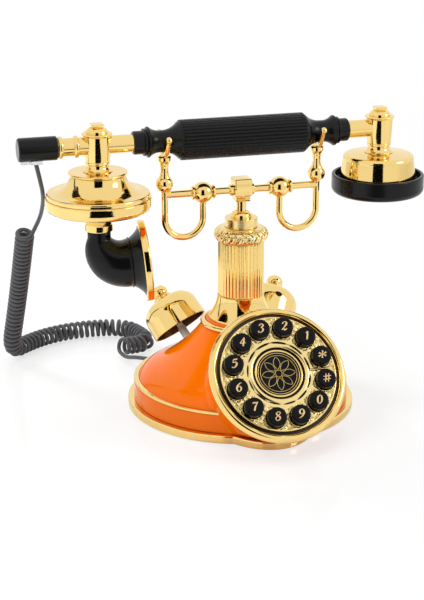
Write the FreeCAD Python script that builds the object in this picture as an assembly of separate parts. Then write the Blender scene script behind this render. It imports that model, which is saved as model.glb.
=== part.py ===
import FreeCAD, Part
import math
import os
from FreeCAD import Placement, Rotation, Vector

# French-style cradle telephone.  Millimetres; +Z is up, the origin lies under the column on the surface the
# phone stands on, the dial faces -Y and the ear cup is at +X.

# Fits shared by several pieces
running_gap = 0.08          # radial play of a shaft that slides in its bore
body_gap = 0.4              # between pieces that move against each other
seat_play = 0.05            # radial play of a fixed spigot in its hole

# Base
base_radius = 75.0
rim_height = 5.5
rim_clearance = 0.8         # rim and cover above the table; the rubber ring reaches down to it
rim_round = 1.6
rim_width = 9.0
lobe_half_width = 38.0
band_radius = 71.0
band_top = 17.2
shell_wall = 2.6
bead_height = 2.0
dome_foot_radius = 67.4
dome_middle_radius = 44.7
dome_middle_height = 35.8
neck_radius = 25.8
neck_height = 55.5
neck_collar_radius = 23.2
neck_top = 60.0
neck_bore = 12.0
boss_radius = 36.0
screw_circle = 57.0
screw_angles = (30, 150, 210, 330)
screw_radius = 1.5
screw_head_radius = 2.9
screw_head_height = 1.8
screw_length = 12.0
screw_post_radius = 4.0
cover_thickness = 2.6
foot_ring_radius = 54.0
foot_ring_width = 5.0
foot_ring_height = 1.8

# Electrics inside the base
ballast_radius = 46.0
ballast_thickness = 4.0
board_stand = 5.0
board_thickness = 1.6
board_width = 62.0
board_depth = 60.0
board_stand_offset = 25.0
switch_width = 20.0
switch_depth = 6.4
switch_height = 10.2
lever_thickness = 0.5
ringer_radius = 12.0
ringer_height = 7.0
ringer_offset = 19.0
jack_width = 12.6
jack_height = 10.0
jack_depth = 15.0
jack_opening_width = 9.8
jack_opening_height = 6.8
jack_opening_depth = 11.5
jack_floor = 6.0
line_jack_angle = 90.0
cord_jack_angle = 125.0

# Column
foot_top = 75.9
foot_lip_radius = 21.3
neck_bead_radius = 26.9
neck_bead_height = 2.9
column_radius = 15.0
column_top = 112.5
column_bore = 9.0
column_ledge_height = 84.0
flute_count = 40
flute_depth = 0.75
flute_share = 0.8
collar_radius = 17.7
collar_top = 121.6
collar_bore = 8.6
leaf_count = 20
leaf_groove_radius = 1.1
leaf_slant = 24.0
guide_ring_radius = 10.7
guide_ring_top = 127.8
guide_dome_radius = 7.0
guide_top = 132.0

# Cradle
stem_radius = 3.16
stem_flange_radius = 7.6
stem_flange_height = 115.6
stem_flange_thickness = 2.0
rod_radius = 2.0
stem_foot_height = 27.0
spring_wire_radius = 0.55
spring_radius = 5.9
spring_turns = 9
block_bottom = 139.0
block_top = 153.8
block_width = 11.5
block_foot_width = 9.6
block_foot_height = 3.4
block_chamfer = 0.7
bar_height = 146.0
bar_radius = 2.3
bar_collar_radius = 3.7
bar_collar_width = 2.2
bar_ball_offset = 25.8
bar_ball_radius = 6.85
bar_ring_radius = 4.4
bar_ring_width = 1.4
hook_offset = 51.0
hook_rod_radius = 2.17
hook_bend_height = 129.9
hook_ball_height = 153.3
hook_ball_radius = 5.6
hook_neck_radius = 2.5
hook_cup_radius = 4.3
hook_cup_depth = 3.0
fork_rod_radius = 1.6
fork_clearance = 0.8
fork_wrap = 60.0
fork_tip_rise = 3.0         # above the handset's axis
fork_tip_radius = 2.1

# Dial, along its own axis from the plane of the key tops
dial_y = -83.0
dial_z = 51.28
dial_tilt = 38.39
bezel_radius = 43.4
bezel_back = -9.5
bezel_floor = -8.2
bezel_crown = -4.0
groove_radius = 39.4
plate_radius = 37.2
plate_top = -3.6
plate_thickness = 1.5
plate_skirt = 0.7
plate_post_circle = 18.9
plate_post_radius = 1.7
centre_ring_radius = 20.5
centre_hole_radius = 16.7
centre_disc_radius = 13.9
centre_disc_top = -4.2
key_circle = 29.48
key_radius = 5.72
key_crown = 1.5
key_travel = 1.5
key_flange_radius = 6.6
key_flange_thickness = 0.8
key_stem_radius = 2.5
key_stem_length = 1.4
key_first_angle = 15.0
key_names = ("star", "1", "2", "3", "4", "5", "6", "7", "8", "9", "0", "hash")
ridge_width = 1.0
ridge_height = 0.5
mat_thickness = 1.4
mat_boss_radius = 3.2
mat_boss_height = 0.5
key_board_thickness = 1.6

# Bells
bell_x = 30.4
bell_y = 39.5
bell_z = 42.4
bell_tilt = 41.5
bell_mouth_radius = 19.7
bell_band_radius = 19.2
bell_band_height = 10.5
bell_height = 22.0
bell_wall = 1.4
bell_flat_radius = 6.4
bell_post_radius = 2.7
bell_stud_radius = 1.5
bell_nut_radius = 6.0
bell_nut_head_radius = 5.3
bell_nut_height = 10.4

# Handset
handset_height = 181.0
grip_radius = 12.8
grip_body_half = 41.0
grip_rib_count = 36
grip_rib_depth = 0.65
grip_rib_share = 0.5
waist_radius = 7.0
waist_offset = 53.0
fork_reach = waist_radius + fork_clearance + fork_rod_radius
fork_tip_height = handset_height + fork_tip_rise
hook_cup_top = handset_height - fork_reach
hook_cup_height = hook_cup_top - hook_cup_depth
bead_radius = 9.75
bead_offset = 61.3
ferrule_radius = 7.4
ferrule_end = 71.5
tube_radius = 5.6
tube_wall = 1.2
tube_depth = 8.0
hub_offset = 94.0
hub_radius = 8.5
hub_low_radius = 7.8
hub_waist_radius = 7.0
hub_flange_radius = 9.7
hub_rise = 8.0
hub_top = handset_height + hub_rise
hub_foot_radius = 9.4
hub_drop = 16.4
hub_foot = handset_height - hub_drop
hub_bore = 3.0
finial_radius = 6.6
finial_dome_height = 3.4
finial_dome_top = hub_top + finial_dome_height
finial_nut_height = 2.2
finial_top = finial_dome_top + finial_nut_height
finial_nut_width = 8.4
finial_spigot_radius = 2.9
finial_spigot_length = 6.0
cord_arm_ring_radius = 7.0
cord_arm_ring_offsets = (107.6, 117.5)
cord_arm_ring_width = 2.6
cord_cap_inner = 119.3
cord_cap_outer = 144.0
cord_cap_radius = 7.5
plug_offset = 132.6
plug_length = 7.2
plug_width = 7.6
plug_depth = 9.2
plug_proud = 1.6
base_plug_length = 14.0
base_plug_proud = 5.0

# Mouthpiece, its levels below the hub
mic_flange_radius = 18.7
mic_top = hub_foot
mic_plate_radius = 32.6
mic_trumpet_height = 13.4
mic_plate_height = mic_top - mic_trumpet_height
mic_lip_height = 3.0
mic_joint = mic_plate_height - mic_lip_height
mic_band_radius = 33.6
mic_under_radius = 30.2
mic_band_height = 8.6
mic_under = mic_joint - mic_band_height
mic_collar_radius = 8.9
mic_cone_height = 8.0
mic_collar_top = mic_under - mic_cone_height
mic_collar_height = 5.2
mic_collar_bottom = mic_collar_top - mic_collar_height
mic_wall = 2.0
mic_seat_radius = 16.0
capsule_radius = 15.0
capsule_height = 8.0

# Horn
horn_throat_radius = 7.4
horn_exit_radius = 15.4
horn_throat_length = 5.1
horn_bend_height = mic_collar_bottom - horn_throat_length
horn_bend_radius = 17.2
horn_turn = 95.5
horn_bulge = 1.2            # more breadth on the bend's outside, half way round
horn_swivel = -8.0         # about the mouthpiece's axis, towards the front
horn_wall = 1.6
horn_ring_radius = 16.3
horn_cone_radius = 22.4
horn_cone_length = 8.4
horn_rim_radius = 26.1
horn_rim_width = 4.6
horn_rim_overlap = 0.6
horn_sections = 7

# Earpiece, its levels below the hub
ear_shoulder_radius = 21.3
ear_dome_radius = 24.7
ear_dome_wall = 1.6
ear_shoulder_drop = 1.2
ear_shoulder = hub_foot - ear_shoulder_drop
ear_dome_height = 17.8
ear_seat = ear_shoulder - ear_dome_height
ear_cap_radius = 30.3
ear_lip_height = 4.8
ear_lip_top = ear_seat + ear_lip_height
ear_lip_width = 2.2
ear_floor_thickness = 2.0
ear_floor = ear_seat - ear_floor_thickness
ear_dish_depth = 3.0
ear_cap_bottom = ear_floor - ear_dish_depth - 3.2
ear_hole_radius = 1.1
ear_hole_circle = 7.0
ear_hole_count = 6
receiver_radius = 20.0
receiver_height = 9.0

# Cord
cord_radius = 1.4
coil_radius = 5.1
coil_turns = 63.17
coil_pitch = 3.9
coil_inner_gap = 0.6
coil_spread = 1.3           # more pitch in the middle of the part on the table
coil_spread_place = 0.62
coil_spread_share = 0.1
coil_start_pull = 18.0      # more pitch where the lead comes in, and where it goes out
coil_start_pull_length = 5.0
coil_end_pull = 10.0
coil_end_pull_length = 4.0
coil_steps = 2400
lead_gap = 0.75             # between a lead's end and its plug
lead_seam = 0.05            # between a lead and the coil
lead_straight = 8.0         # of a lead, in line with the coil's end
coil_route = (
    (-132.4, 60.0, 110.0),
    (-132.2, 78.0, 78.0),
    (-133.4, 98.0, 44.0),
    (-136.0, 117.0, 7.2),
    (-118.0, 134.0, 6.9),
    (-98.0, 143.0, 6.9),
    (-70.0, 152.0, 6.9),
    (-42.0, 148.0, 6.9),
    (-32.0, 122.0, 6.9),
    (-34.0, 101.0, 6.9),
    (-56.0, 92.5, 6.9),
)
lead_top_route = (
    (-132.2, 2.5, 162.0),
    (-130.2, 13.0, 150.0),
    (-125.4, 26.0, 136.0),
    (-122.6, 40.0, 121.0),
)
lead_base_route = (
    (-54.4, 76.5, 11.6),
)


def outline(start, *steps):
    """Closed face in the plane of radius and height; a step is a point, or a middle and an end for an arc."""
    edges = []
    here = start
    for step in steps + (start,):
        if isinstance(step[0], tuple):
            middle, end = step
            edges.append(Part.Arc(*[Vector(r, 0, z) for r, z in (here, middle, end)]).toShape())
        else:
            end = step
            edges.append(Part.LineSegment(Vector(here[0], 0, here[1]), Vector(end[0], 0, end[1])).toShape())
        here = end
    return Part.Face(Part.Wire(edges))


def turned(start, *steps):
    """Solid of revolution about Z of a closed outline."""
    return outline(start, *steps).revolve(Vector(0, 0, 0), Vector(0, 0, 1), 360)


def cap(edge, top):
    """Arc step from an edge point to the top on the axis, part of a sphere."""
    rise = top - edge[1]
    radius = (rise ** 2 + edge[0] ** 2) / (2 * rise)
    half = math.asin(edge[0] / radius) / 2
    return (radius * math.sin(half), top - radius * (1 - math.cos(half))), (0, top)


def rod(radius, low, high, x=0.0, y=0.0):
    """Upright round bar between two levels."""
    return Part.makeCylinder(radius, high - low, Vector(x, y, low))


def tube(outer, inner, low, high):
    """Upright round tube between two levels."""
    return rod(outer, low, high).cut(rod(inner, low - 1, high + 1))


def block(width, depth, low, high, x=0.0, y=0.0):
    """Upright box centred on (x, y) between two levels."""
    return Part.makeBox(width, depth, high - low, Vector(x - width / 2, y - depth / 2, low))


def set_on(shape, origin, axis, side=Vector(1, 0, 0)):
    """Copy of a piece drawn about Z, moved so that its Z runs along axis and its X lies towards side."""
    turn = Rotation(side, Vector(0, 0, 0), axis, "ZXY")
    placed = shape.copy()
    placed.Placement = Placement(origin, turn).multiply(placed.Placement)
    return placed


def along_x(shape, height):
    """Piece drawn about Z, laid along +X at a height."""
    return set_on(shape, Vector(0, 0, height), Vector(1, 0, 0), Vector(0, 1, 0))


def mirrored(shape):
    """The same piece on the other side of the YZ plane."""
    return shape.mirror(Vector(0, 0, 0), Vector(1, 0, 0))


def moved(shape, x, y, z):
    """Copy shifted by (x, y, z)."""
    copy = shape.copy()
    copy.translate(Vector(x, y, z))
    return copy


def polar(radius, degrees):
    """Plan position at a radius and an angle from +X."""
    return radius * math.cos(math.radians(degrees)), radius * math.sin(math.radians(degrees))


def circle_centre(a, b, c):
    """Centre and radius of the circle through three (r, z) points."""
    d = 2 * (a[0] * (b[1] - c[1]) + b[0] * (c[1] - a[1]) + c[0] * (a[1] - b[1]))
    squares = [p[0] ** 2 + p[1] ** 2 for p in (a, b, c)]
    x = (squares[0] * (b[1] - c[1]) + squares[1] * (c[1] - a[1]) + squares[2] * (a[1] - b[1])) / d
    z = (squares[0] * (c[0] - b[0]) + squares[1] * (a[0] - c[0]) + squares[2] * (b[0] - a[0])) / d
    return x, z, math.hypot(a[0] - x, a[1] - z)


def swept(path, radius):
    """Round bar along a wire, its section square to the wire's start."""
    first = path.OrderedEdges[0]
    start = first.valueAt(first.FirstParameter)
    direction = first.tangentAt(first.FirstParameter)
    section = Part.Wire(Part.Circle(start, direction, radius).toShape())
    return path.makePipeShell([section], True, False)


# Base

dial_axis = Vector(0, -math.cos(math.radians(dial_tilt)), math.sin(math.radians(dial_tilt)))
dial_centre_point = Vector(0, dial_y, dial_z)


def on_dial(shape):
    """Piece drawn about Z from the key tops, set on the dial's axis."""
    return set_on(shape, dial_centre_point, dial_axis)


def lobe(half_width, low, high):
    """Oval prism: the section of a round bar that lies along the dial's axis, at the rim."""
    reach = (dial_z - rim_height) / math.tan(math.radians(dial_tilt))
    centre = Vector(0, dial_y + reach, low)
    half_depth = half_width / math.sin(math.radians(dial_tilt))
    oval = Part.Ellipse(centre + Vector(0, half_depth, 0), centre + Vector(half_width, 0, 0), centre)
    return Part.Face(Part.Wire(oval.toShape())).extrude(Vector(0, 0, high - low))


def build_rim():
    """Bottom ring with the lobe under the dial."""
    top = rim_height
    low = rim_clearance
    corner = rim_round * (1 - math.sqrt(0.5))
    disc = turned((0, low), (base_radius, low), (base_radius, top - rim_round),
                  ((base_radius - corner, top - corner), (base_radius - rim_round, top)), (0, top))
    front = lobe(lobe_half_width, low, top)
    crown = [e for e in front.Edges if abs(e.BoundBox.ZMin - top) < 0.01 and e.BoundBox.ZLength < 0.01]
    front = front.makeFillet(rim_round, crown)
    inside = rod(base_radius - rim_width, low - 1, top + 1)
    inside = inside.fuse(lobe(lobe_half_width - rim_width, low - 1, top + 1))
    return disc.fuse(front).cut(inside).removeSplitter()


def dome_solid(inset):
    """Band, shoulder and flared dome as one full solid, drawn in by inset all round."""
    foot = (dome_foot_radius, band_top + bead_height)
    middle = (dome_middle_radius, dome_middle_height)
    neck = (neck_radius, neck_height)
    cx, cz, radius = circle_centre(foot, middle, neck)

    def inner(point):
        scale = (radius + inset) / radius
        return cx + (point[0] - cx) * scale, cz + (point[1] - cz) * scale

    foot_in = inner(foot)
    neck_in = inner(neck)
    ledge = foot_in[0] if inset else dome_foot_radius
    return turned((0, rim_height), (band_radius - inset, rim_height), (band_radius - inset, band_top - inset),
                  (ledge, band_top - inset), foot_in, (inner(middle), neck_in), (0, neck_in[1]))


def boss_solid(radius):
    """Round boss along the dial's axis, from the bezel's back into the dome."""
    return on_dial(rod(radius, bezel_back - 52, bezel_back))


def jack_frame(degrees):
    """Where a jack's mouth stands on the band, and the way it looks."""
    x, y = polar(band_radius, degrees)
    out_x, out_y = polar(1, degrees)
    return Vector(x, y, 0), Vector(out_x, out_y, 0)


def at_jack(shape, degrees):
    """Piece drawn with +Y outwards from the band's face, set at a jack."""
    origin, out = jack_frame(degrees)
    side = out.cross(Vector(0, 0, 1))
    return set_on(shape, origin, Vector(0, 0, 1), side)


def build_shell():
    """Moulded shell: band, dome and dial boss with one hollow, screw posts and the jack windows."""
    below = Part.makeBox(400, 400, 200, Vector(-200, -200, rim_height - 200))
    outside = dome_solid(0).fuse(boss_solid(boss_radius)).cut(below)
    dial_hollow = on_dial(rod(boss_radius - shell_wall, bezel_back - 60, bezel_back + 5))
    hollow = dome_solid(shell_wall).fuse(dial_hollow)
    shell = outside.fuse(rod(neck_collar_radius, neck_height - shell_wall / 2, neck_top)).cut(hollow)
    shell = shell.cut(rod(neck_bore, neck_height - 20, neck_top + 1))
    for angle in screw_angles:
        x, y = polar(screw_circle, angle)
        post = rod(screw_post_radius, cover_top, dome_middle_height, x, y).common(dome_solid(shell_wall / 2))
        post = post.fuse(rod(screw_post_radius, cover_top, rim_height, x, y))
        shell = shell.fuse(post)
    for angle in screw_angles:
        x, y = polar(screw_circle, angle)
        shell = shell.cut(rod(screw_radius + seat_play, cover_top - 1, cover_top + screw_length, x, y))
    for angle in (line_jack_angle, cord_jack_angle):
        window = block(jack_width + 2 * seat_play, 12, jack_floor, jack_floor + jack_height + seat_play)
        shell = shell.cut(at_jack(window, angle))
    return shell.removeSplitter()


def build_base_bead():
    """Half-round gold lines: one on the shoulder, open where the dial boss crosses it, and one at the neck."""
    def line(inner, outer, low, height):
        crown = height / 2
        return turned((inner, low), (outer - crown, low), ((outer, low + crown), (outer - crown, low + height)),
                      (inner, low + height))

    shoulder = line(dome_foot_radius + body_gap, band_radius, band_top, bead_height)
    neck = line(neck_collar_radius + body_gap, neck_bead_radius, neck_height, neck_bead_height)
    return Part.makeCompound([shoulder.cut(boss_solid(boss_radius + body_gap)), neck])


cover_bottom = rim_clearance
cover_top = cover_bottom + cover_thickness


def build_cover():
    """Plastic cover inside the rim, with the screw recesses and the groove for the rubber ring."""
    inset = rim_width + body_gap
    cover = rod(base_radius - inset, cover_bottom, cover_top)
    cover = cover.fuse(lobe(lobe_half_width - inset, cover_bottom, cover_top)).removeSplitter()
    outer = foot_ring_radius + foot_ring_width / 2
    cover = cover.cut(tube(outer, outer - foot_ring_width, cover_bottom - 1, foot_ring_height))
    for angle in screw_angles:
        x, y = polar(screw_circle, angle)
        cover = cover.cut(rod(screw_radius + seat_play, cover_bottom - 1, cover_top + 1, x, y))
        cover = cover.cut(rod(screw_head_radius + body_gap, cover_bottom - 1, cover_bottom + screw_head_height,
                              x, y))
    return cover


def build_foot_ring():
    """Rubber ring that the phone stands on; cut back at the screw heads."""
    outer = foot_ring_radius + foot_ring_width / 2
    ring = tube(outer, outer - foot_ring_width, 0, foot_ring_height)
    for angle in screw_angles:
        x, y = polar(screw_circle, angle)
        ring = ring.cut(rod(screw_head_radius + body_gap, -1, foot_ring_height + 1, x, y))
    return ring


def build_screws():
    """Four cover screws with slotted heads."""
    screws = []
    seat = cover_bottom + screw_head_height
    for angle in screw_angles:
        x, y = polar(screw_circle, angle)
        screw = rod(screw_radius, seat, cover_top + screw_length - 1, x, y)
        screw = screw.fuse(rod(screw_head_radius, cover_bottom + 0.2, seat, x, y))
        slot = block(2 * screw_head_radius, 0.7, cover_bottom - 1, cover_bottom + 0.9, x, y)
        screws.append(screw.cut(slot))
    return Part.makeCompound(screws)


ballast_top = cover_top + ballast_thickness
board_bottom = ballast_top + board_stand
board_top = board_bottom + board_thickness


def build_ballast():
    """Steel weight on the cover, with four stands for the board."""
    plate = rod(ballast_radius, cover_top, ballast_top)
    for x in (-board_stand_offset, board_stand_offset):
        for y in (-board_stand_offset, board_stand_offset):
            plate = plate.fuse(rod(3, ballast_top, board_bottom, x, y))
    return plate


def build_main_board():
    """Circuit board on the ballast's stands, corners cut off."""
    board = block(board_width, board_depth, board_bottom, board_top)
    upright = [e for e in board.Edges if e.BoundBox.ZLength > board_thickness / 2]
    return board.makeChamfer(6, upright)


switch_top = board_top + switch_height


def build_hook_switch():
    """Snap switch on the board; its lever lies under the plunger's foot."""
    body = block(switch_width, switch_depth, board_top, switch_top)
    lever_low = stem_foot_height - body_gap - lever_thickness
    lever = block(switch_width - 2, switch_depth - 2.4, lever_low, lever_low + lever_thickness)
    hinge = block(1.2, switch_depth - 2.4, switch_top, lever_low, 1.6 - switch_width / 2)
    button = rod(1.2, switch_top, lever_low, 3.0)
    return body.fuse(lever).fuse(hinge).fuse(button).removeSplitter()


def build_ringer():
    """Round sounder on the board with a sound hole."""
    body = rod(ringer_radius, board_top, board_top + ringer_height, 0, ringer_offset)
    return body.cut(rod(1.5, board_top + 2, board_top + ringer_height + 1, 0, ringer_offset))


def modular_jack():
    """Modular socket: a square body behind its window with a stepped mouth."""
    low = jack_floor + seat_play
    high = low + jack_height - 2 * seat_play
    body = block(jack_width, jack_depth, low, high, 0, -jack_depth / 2 - 1.2)
    sill = low + (jack_height - jack_opening_height) / 2
    mouth = block(jack_opening_width, jack_opening_depth, sill, sill + jack_opening_height,
                  0, -jack_opening_depth / 2)
    latch = block(jack_opening_width * 0.4, jack_opening_depth, sill - 1.0, sill + 1,
                  0, -jack_opening_depth / 2)
    return body.cut(mouth).cut(latch)


def build_jacks():
    """The line socket in the middle of the back and the cord socket beside it."""
    return Part.makeCompound([at_jack(modular_jack(), a) for a in (line_jack_angle, cord_jack_angle)])


# Column

def fluted_bar(radius, count, depth, share, low, high):
    """Upright bar with round flutes; share is the part of each pitch that the flute takes."""
    pitch = 2 * math.pi / count
    half = pitch * share / 2
    edges = []
    for i in range(count):
        middle = i * pitch
        angles = (middle - half, middle, middle + half)
        radii = (radius, radius - depth, radius)
        points = [Vector(r * math.cos(a), r * math.sin(a), low) for r, a in zip(radii, angles)]
        edges.append(Part.Arc(*points).toShape())
        following = middle + pitch - half
        land_end = Vector(radius * math.cos(following), radius * math.sin(following), low)
        edges.append(Part.LineSegment(points[2], land_end).toShape())
    return Part.Face(Part.Wire(edges)).extrude(Vector(0, 0, high - low))


def build_foot():
    """Flared foot with a lip, on the shell's neck."""
    lip_top = neck_top + 1.4
    return turned((neck_bore, neck_top), (foot_lip_radius, neck_top), (foot_lip_radius, lip_top),
                  (foot_lip_radius - 0.6, lip_top),
                  ((column_radius + 2.2, lip_top + 6.4), (column_radius + 0.4, foot_top)),
                  (rod_radius + 1.0, foot_top), (rod_radius + 1.0, foot_top - 4), (neck_bore, foot_top - 4))


def build_column():
    """Fluted column with the plunger's bore and the ledge that the spring stands on."""
    column = fluted_bar(column_radius, flute_count, flute_depth, flute_share, foot_top, column_top)
    column = column.cut(rod(column_bore, column_ledge_height, column_top + 1))
    return column.cut(rod(rod_radius + body_gap, foot_top - 1, column_ledge_height + 1))


def build_collar():
    """Round collar over the column, carved all round into slanting leaves."""
    low = column_top
    middle = low + 3.8
    collar = turned((collar_bore, low), (column_radius + 0.3, low),
                    ((collar_radius, middle), (column_radius + 0.6, low + 8.0)),
                    (guide_ring_radius + 1.6, collar_top), (collar_bore, collar_top))
    for i in range(leaf_count):
        angle = 360.0 * i / leaf_count
        groove = rod(leaf_groove_radius, -8, 8)
        groove.rotate(Vector(0, 0, 0), Vector(1, 0, 0), leaf_slant)
        groove = moved(groove, collar_radius + 0.35, 0, middle)
        groove.rotate(Vector(0, 0, 0), Vector(0, 0, 1), angle)
        collar = collar.cut(groove)
    return collar


def build_stem_guide():
    """Smooth ring and small dome that the stem slides in."""
    bore = stem_radius + running_gap
    edge = guide_ring_radius - 0.5
    return turned((bore, collar_top), (guide_ring_radius, collar_top), (guide_ring_radius, guide_ring_top - 0.5),
                  (edge, guide_ring_top), (guide_dome_radius, guide_ring_top),
                  ((guide_dome_radius - 1.3, guide_top - 1.2), (stem_radius + 1.0, guide_top)),
                  (bore, guide_top))


# Cradle

def build_stem():
    """Plunger: polished stem, flange over the spring and thin rod down to the switch."""
    top = stem_flange_height + stem_flange_thickness
    return turned((0, stem_foot_height), (rod_radius, stem_foot_height), (rod_radius, stem_flange_height),
                  (stem_flange_radius, stem_flange_height), (stem_flange_radius, top), (stem_radius, top),
                  (stem_radius, block_bottom), (0, block_bottom))


def build_block():
    """Square block with a narrower foot, bored for the bar."""
    shoulder = block_bottom + block_foot_height
    head = block(block_width, block_width, shoulder, block_top)
    head = head.makeChamfer(block_chamfer, head.Edges)
    foot = block(block_foot_width, block_foot_width, block_bottom, shoulder + block_chamfer)
    bore = along_x(rod(bar_radius + seat_play, -block_width, block_width), bar_height)
    return head.fuse(foot).cut(bore).removeSplitter()


def build_bar():
    """Cross bar with a collar each side of the block and a ringed ball each side."""
    bar = rod(bar_radius, -hook_offset, hook_offset)
    inner = block_width / 2
    for side in (-1, 1):
        collar = rod(bar_collar_radius, inner, inner + bar_collar_width)
        ring_in = bar_ball_offset - bar_ball_radius - bar_ring_width / 2
        ring_out = bar_ball_offset + bar_ball_radius - bar_ring_width / 2
        pieces = [collar, rod(bar_ring_radius, ring_in, ring_in + bar_ring_width),
                  rod(bar_ring_radius, ring_out, ring_out + bar_ring_width),
                  Part.makeSphere(bar_ball_radius, Vector(0, 0, bar_ball_offset))]
        for piece in pieces:
            shape = piece if side > 0 else piece.mirror(Vector(0, 0, 0), Vector(0, 0, 1))
            bar = bar.fuse(shape)
    return along_x(bar.removeSplitter(), bar_height)


def build_hook():
    """Right-hand hook: U-shaped rod, ball, neck and cup; it ends on the bar's ball."""
    inner = Vector(bar_ball_offset, 0, bar_height)
    outer = Vector(hook_offset, 0, hook_ball_height)
    bend_in = Vector(bar_ball_offset, 0, hook_bend_height)
    bend_out = Vector(hook_offset, 0, hook_bend_height)
    reach = (hook_offset - bar_ball_offset) / 2
    lowest = Vector(bar_ball_offset + reach, 0, hook_bend_height - reach)
    path = Part.Wire([Part.LineSegment(inner, bend_in).toShape(),
                      Part.Arc(bend_in, lowest, bend_out).toShape(),
                      Part.LineSegment(bend_out, outer).toShape()])
    neck_foot = hook_ball_height + hook_ball_radius * 0.6
    neck = turned((0, neck_foot), (hook_neck_radius + 1.2, neck_foot),
                  ((hook_neck_radius, neck_foot + 5.0), (hook_neck_radius + 0.3, hook_cup_height - 3.4)),
                  ((hook_neck_radius + 0.7, hook_cup_height - 1.4), (hook_cup_radius, hook_cup_height)),
                  (hook_cup_radius, hook_cup_top - 0.8), (hook_cup_radius - 0.8, hook_cup_top),
                  (0, hook_cup_top))
    ball = Part.makeSphere(hook_ball_radius, outer)
    return swept(path, hook_rod_radius).fuse([ball, moved(neck, hook_offset, 0, 0)]).removeSplitter()


def build_fork():
    """Right-hand fork: a rod bent round the grip's waist with straight prongs and ball tips."""
    wrap = math.radians(fork_wrap)
    end_y = fork_reach * math.sin(wrap)
    end_z = handset_height - fork_reach * math.cos(wrap)
    run = (fork_tip_height - end_z) / math.sin(wrap)
    tip_y = end_y + run * math.cos(wrap)
    tips = [Vector(hook_offset, side * tip_y, fork_tip_height) for side in (-1, 1)]
    ends = [Vector(hook_offset, side * end_y, end_z) for side in (-1, 1)]
    low = Vector(hook_offset, 0, handset_height - fork_reach)
    path = Part.Wire([Part.LineSegment(tips[0], ends[0]).toShape(), Part.Arc(ends[0], low, ends[1]).toShape(),
                      Part.LineSegment(ends[1], tips[1]).toShape()])
    return swept(path, fork_rod_radius).fuse([Part.makeSphere(fork_tip_radius, tip) for tip in tips])


# Dial

def build_bezel():
    """Gold ring with the floor of the dark groove."""
    inner = boss_radius - 1.6
    return on_dial(turned((inner, bezel_back), (bezel_radius - 1.2, bezel_back),
                          ((bezel_radius, bezel_back + 2.2), (bezel_radius - 0.7, bezel_crown - 1.3)),
                          ((bezel_radius - 2.0, bezel_crown), (groove_radius + 0.3, bezel_crown - 0.9)),
                          (groove_radius, bezel_floor), (inner, bezel_floor)))


def build_plate():
    """Pan-shaped plate with twelve key holes, the raised centre ring, the stop ridge and three posts."""
    under = plate_top - plate_thickness
    ring_top = plate_top + 1.3
    plate = turned((centre_hole_radius, under), (plate_radius - plate_skirt, under),
                   (plate_radius - plate_skirt, bezel_floor), (plate_radius, bezel_floor),
                   (plate_radius, plate_top - 0.5), (plate_radius - 0.5, plate_top),
                   (centre_ring_radius, plate_top), ((centre_ring_radius - 1.0, plate_top + 0.9),
                                                     (centre_ring_radius - 2.2, ring_top)),
                   (centre_hole_radius, ring_top - 0.8))
    ridge_inner = centre_ring_radius - 0.5
    ridge_length = plate_radius - 1.0 - ridge_inner
    ridge = Part.makeBox(ridge_length, ridge_width, ridge_height + 0.3,
                         Vector(ridge_inner, -ridge_width / 2, plate_top - 0.3))
    plate = plate.fuse(ridge)
    for i in range(3):
        x, y = polar(plate_post_circle, 90 + 120 * i)
        plate = plate.fuse(rod(plate_post_radius, key_board_top, under + 0.3, x, y))
    for i in range(len(key_names)):
        x, y = polar(key_circle, key_first_angle + 30 * i)
        plate = plate.cut(rod(key_radius + body_gap, under - 1, plate_top + 2, x, y))
    return on_dial(plate.removeSplitter())


def build_centre():
    """Black centre piece: a cup in the plate's hole with a raised disc."""
    edge = centre_hole_radius - seat_play
    low = plate_top - plate_thickness
    cup = turned((0, low - 1.4), (centre_hole_radius + 1.0, low - 1.4), (centre_hole_radius + 1.0, low),
                 (edge, low), (edge, low + 0.4), (centre_disc_radius, low + 0.4),
                 (centre_disc_radius, centre_disc_top - 0.4), (centre_disc_radius - 0.4, centre_disc_top),
                 (0, centre_disc_top))
    for i in range(3):
        x, y = polar(plate_post_circle, 90 + 120 * i)
        cup = cup.cut(rod(plate_post_radius + body_gap, low - 3, low + 1, x, y))
    return on_dial(cup)


key_flange_top = plate_top - plate_thickness - body_gap
key_flange_bottom = key_flange_top - key_flange_thickness
key_bottom = key_flange_bottom - key_stem_length
mat_boss_top = key_bottom - key_travel - body_gap
mat_bottom = mat_boss_top - mat_boss_height - mat_thickness
key_board_top = mat_bottom


def build_key(index):
    """Domed key with a flange under the plate and a stem over the mat."""
    edge = -key_crown
    key = turned((0, key_bottom), (key_stem_radius, key_bottom), (key_stem_radius, key_flange_bottom),
                 (key_flange_radius, key_flange_bottom), (key_flange_radius, key_flange_top),
                 (key_radius, key_flange_top), (key_radius, edge - 0.3),
                 ((key_radius - 0.25, edge + 0.25), (key_radius - 0.8, edge + 0.55)),
                 cap((key_radius - 0.8, edge + 0.55), 0))
    x, y = polar(key_circle, key_first_angle + 30 * index)
    return on_dial(moved(key, x, y, 0))


def build_mat():
    """Rubber mat with a boss under each key."""
    outer = boss_radius - shell_wall - body_gap
    inner = plate_post_circle + plate_post_radius + body_gap
    mat = tube(outer, inner, mat_bottom, mat_bottom + mat_thickness)
    for i in range(len(key_names)):
        x, y = polar(key_circle, key_first_angle + 30 * i)
        mat = mat.fuse(rod(mat_boss_radius, mat_bottom + mat_thickness, mat_boss_top, x, y))
    return on_dial(mat)


def build_key_board():
    """Round circuit board under the mat, held by the plate's posts."""
    outer = boss_radius - shell_wall - body_gap
    return on_dial(rod(outer, key_board_top - key_board_thickness, key_board_top))


# Bells

bell_out = math.hypot(bell_x, bell_y)
bell_lean = math.sin(math.radians(bell_tilt))
bell_axis = Vector(bell_x / bell_out * bell_lean, bell_y / bell_out * bell_lean,
                   math.cos(math.radians(bell_tilt)))


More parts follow.
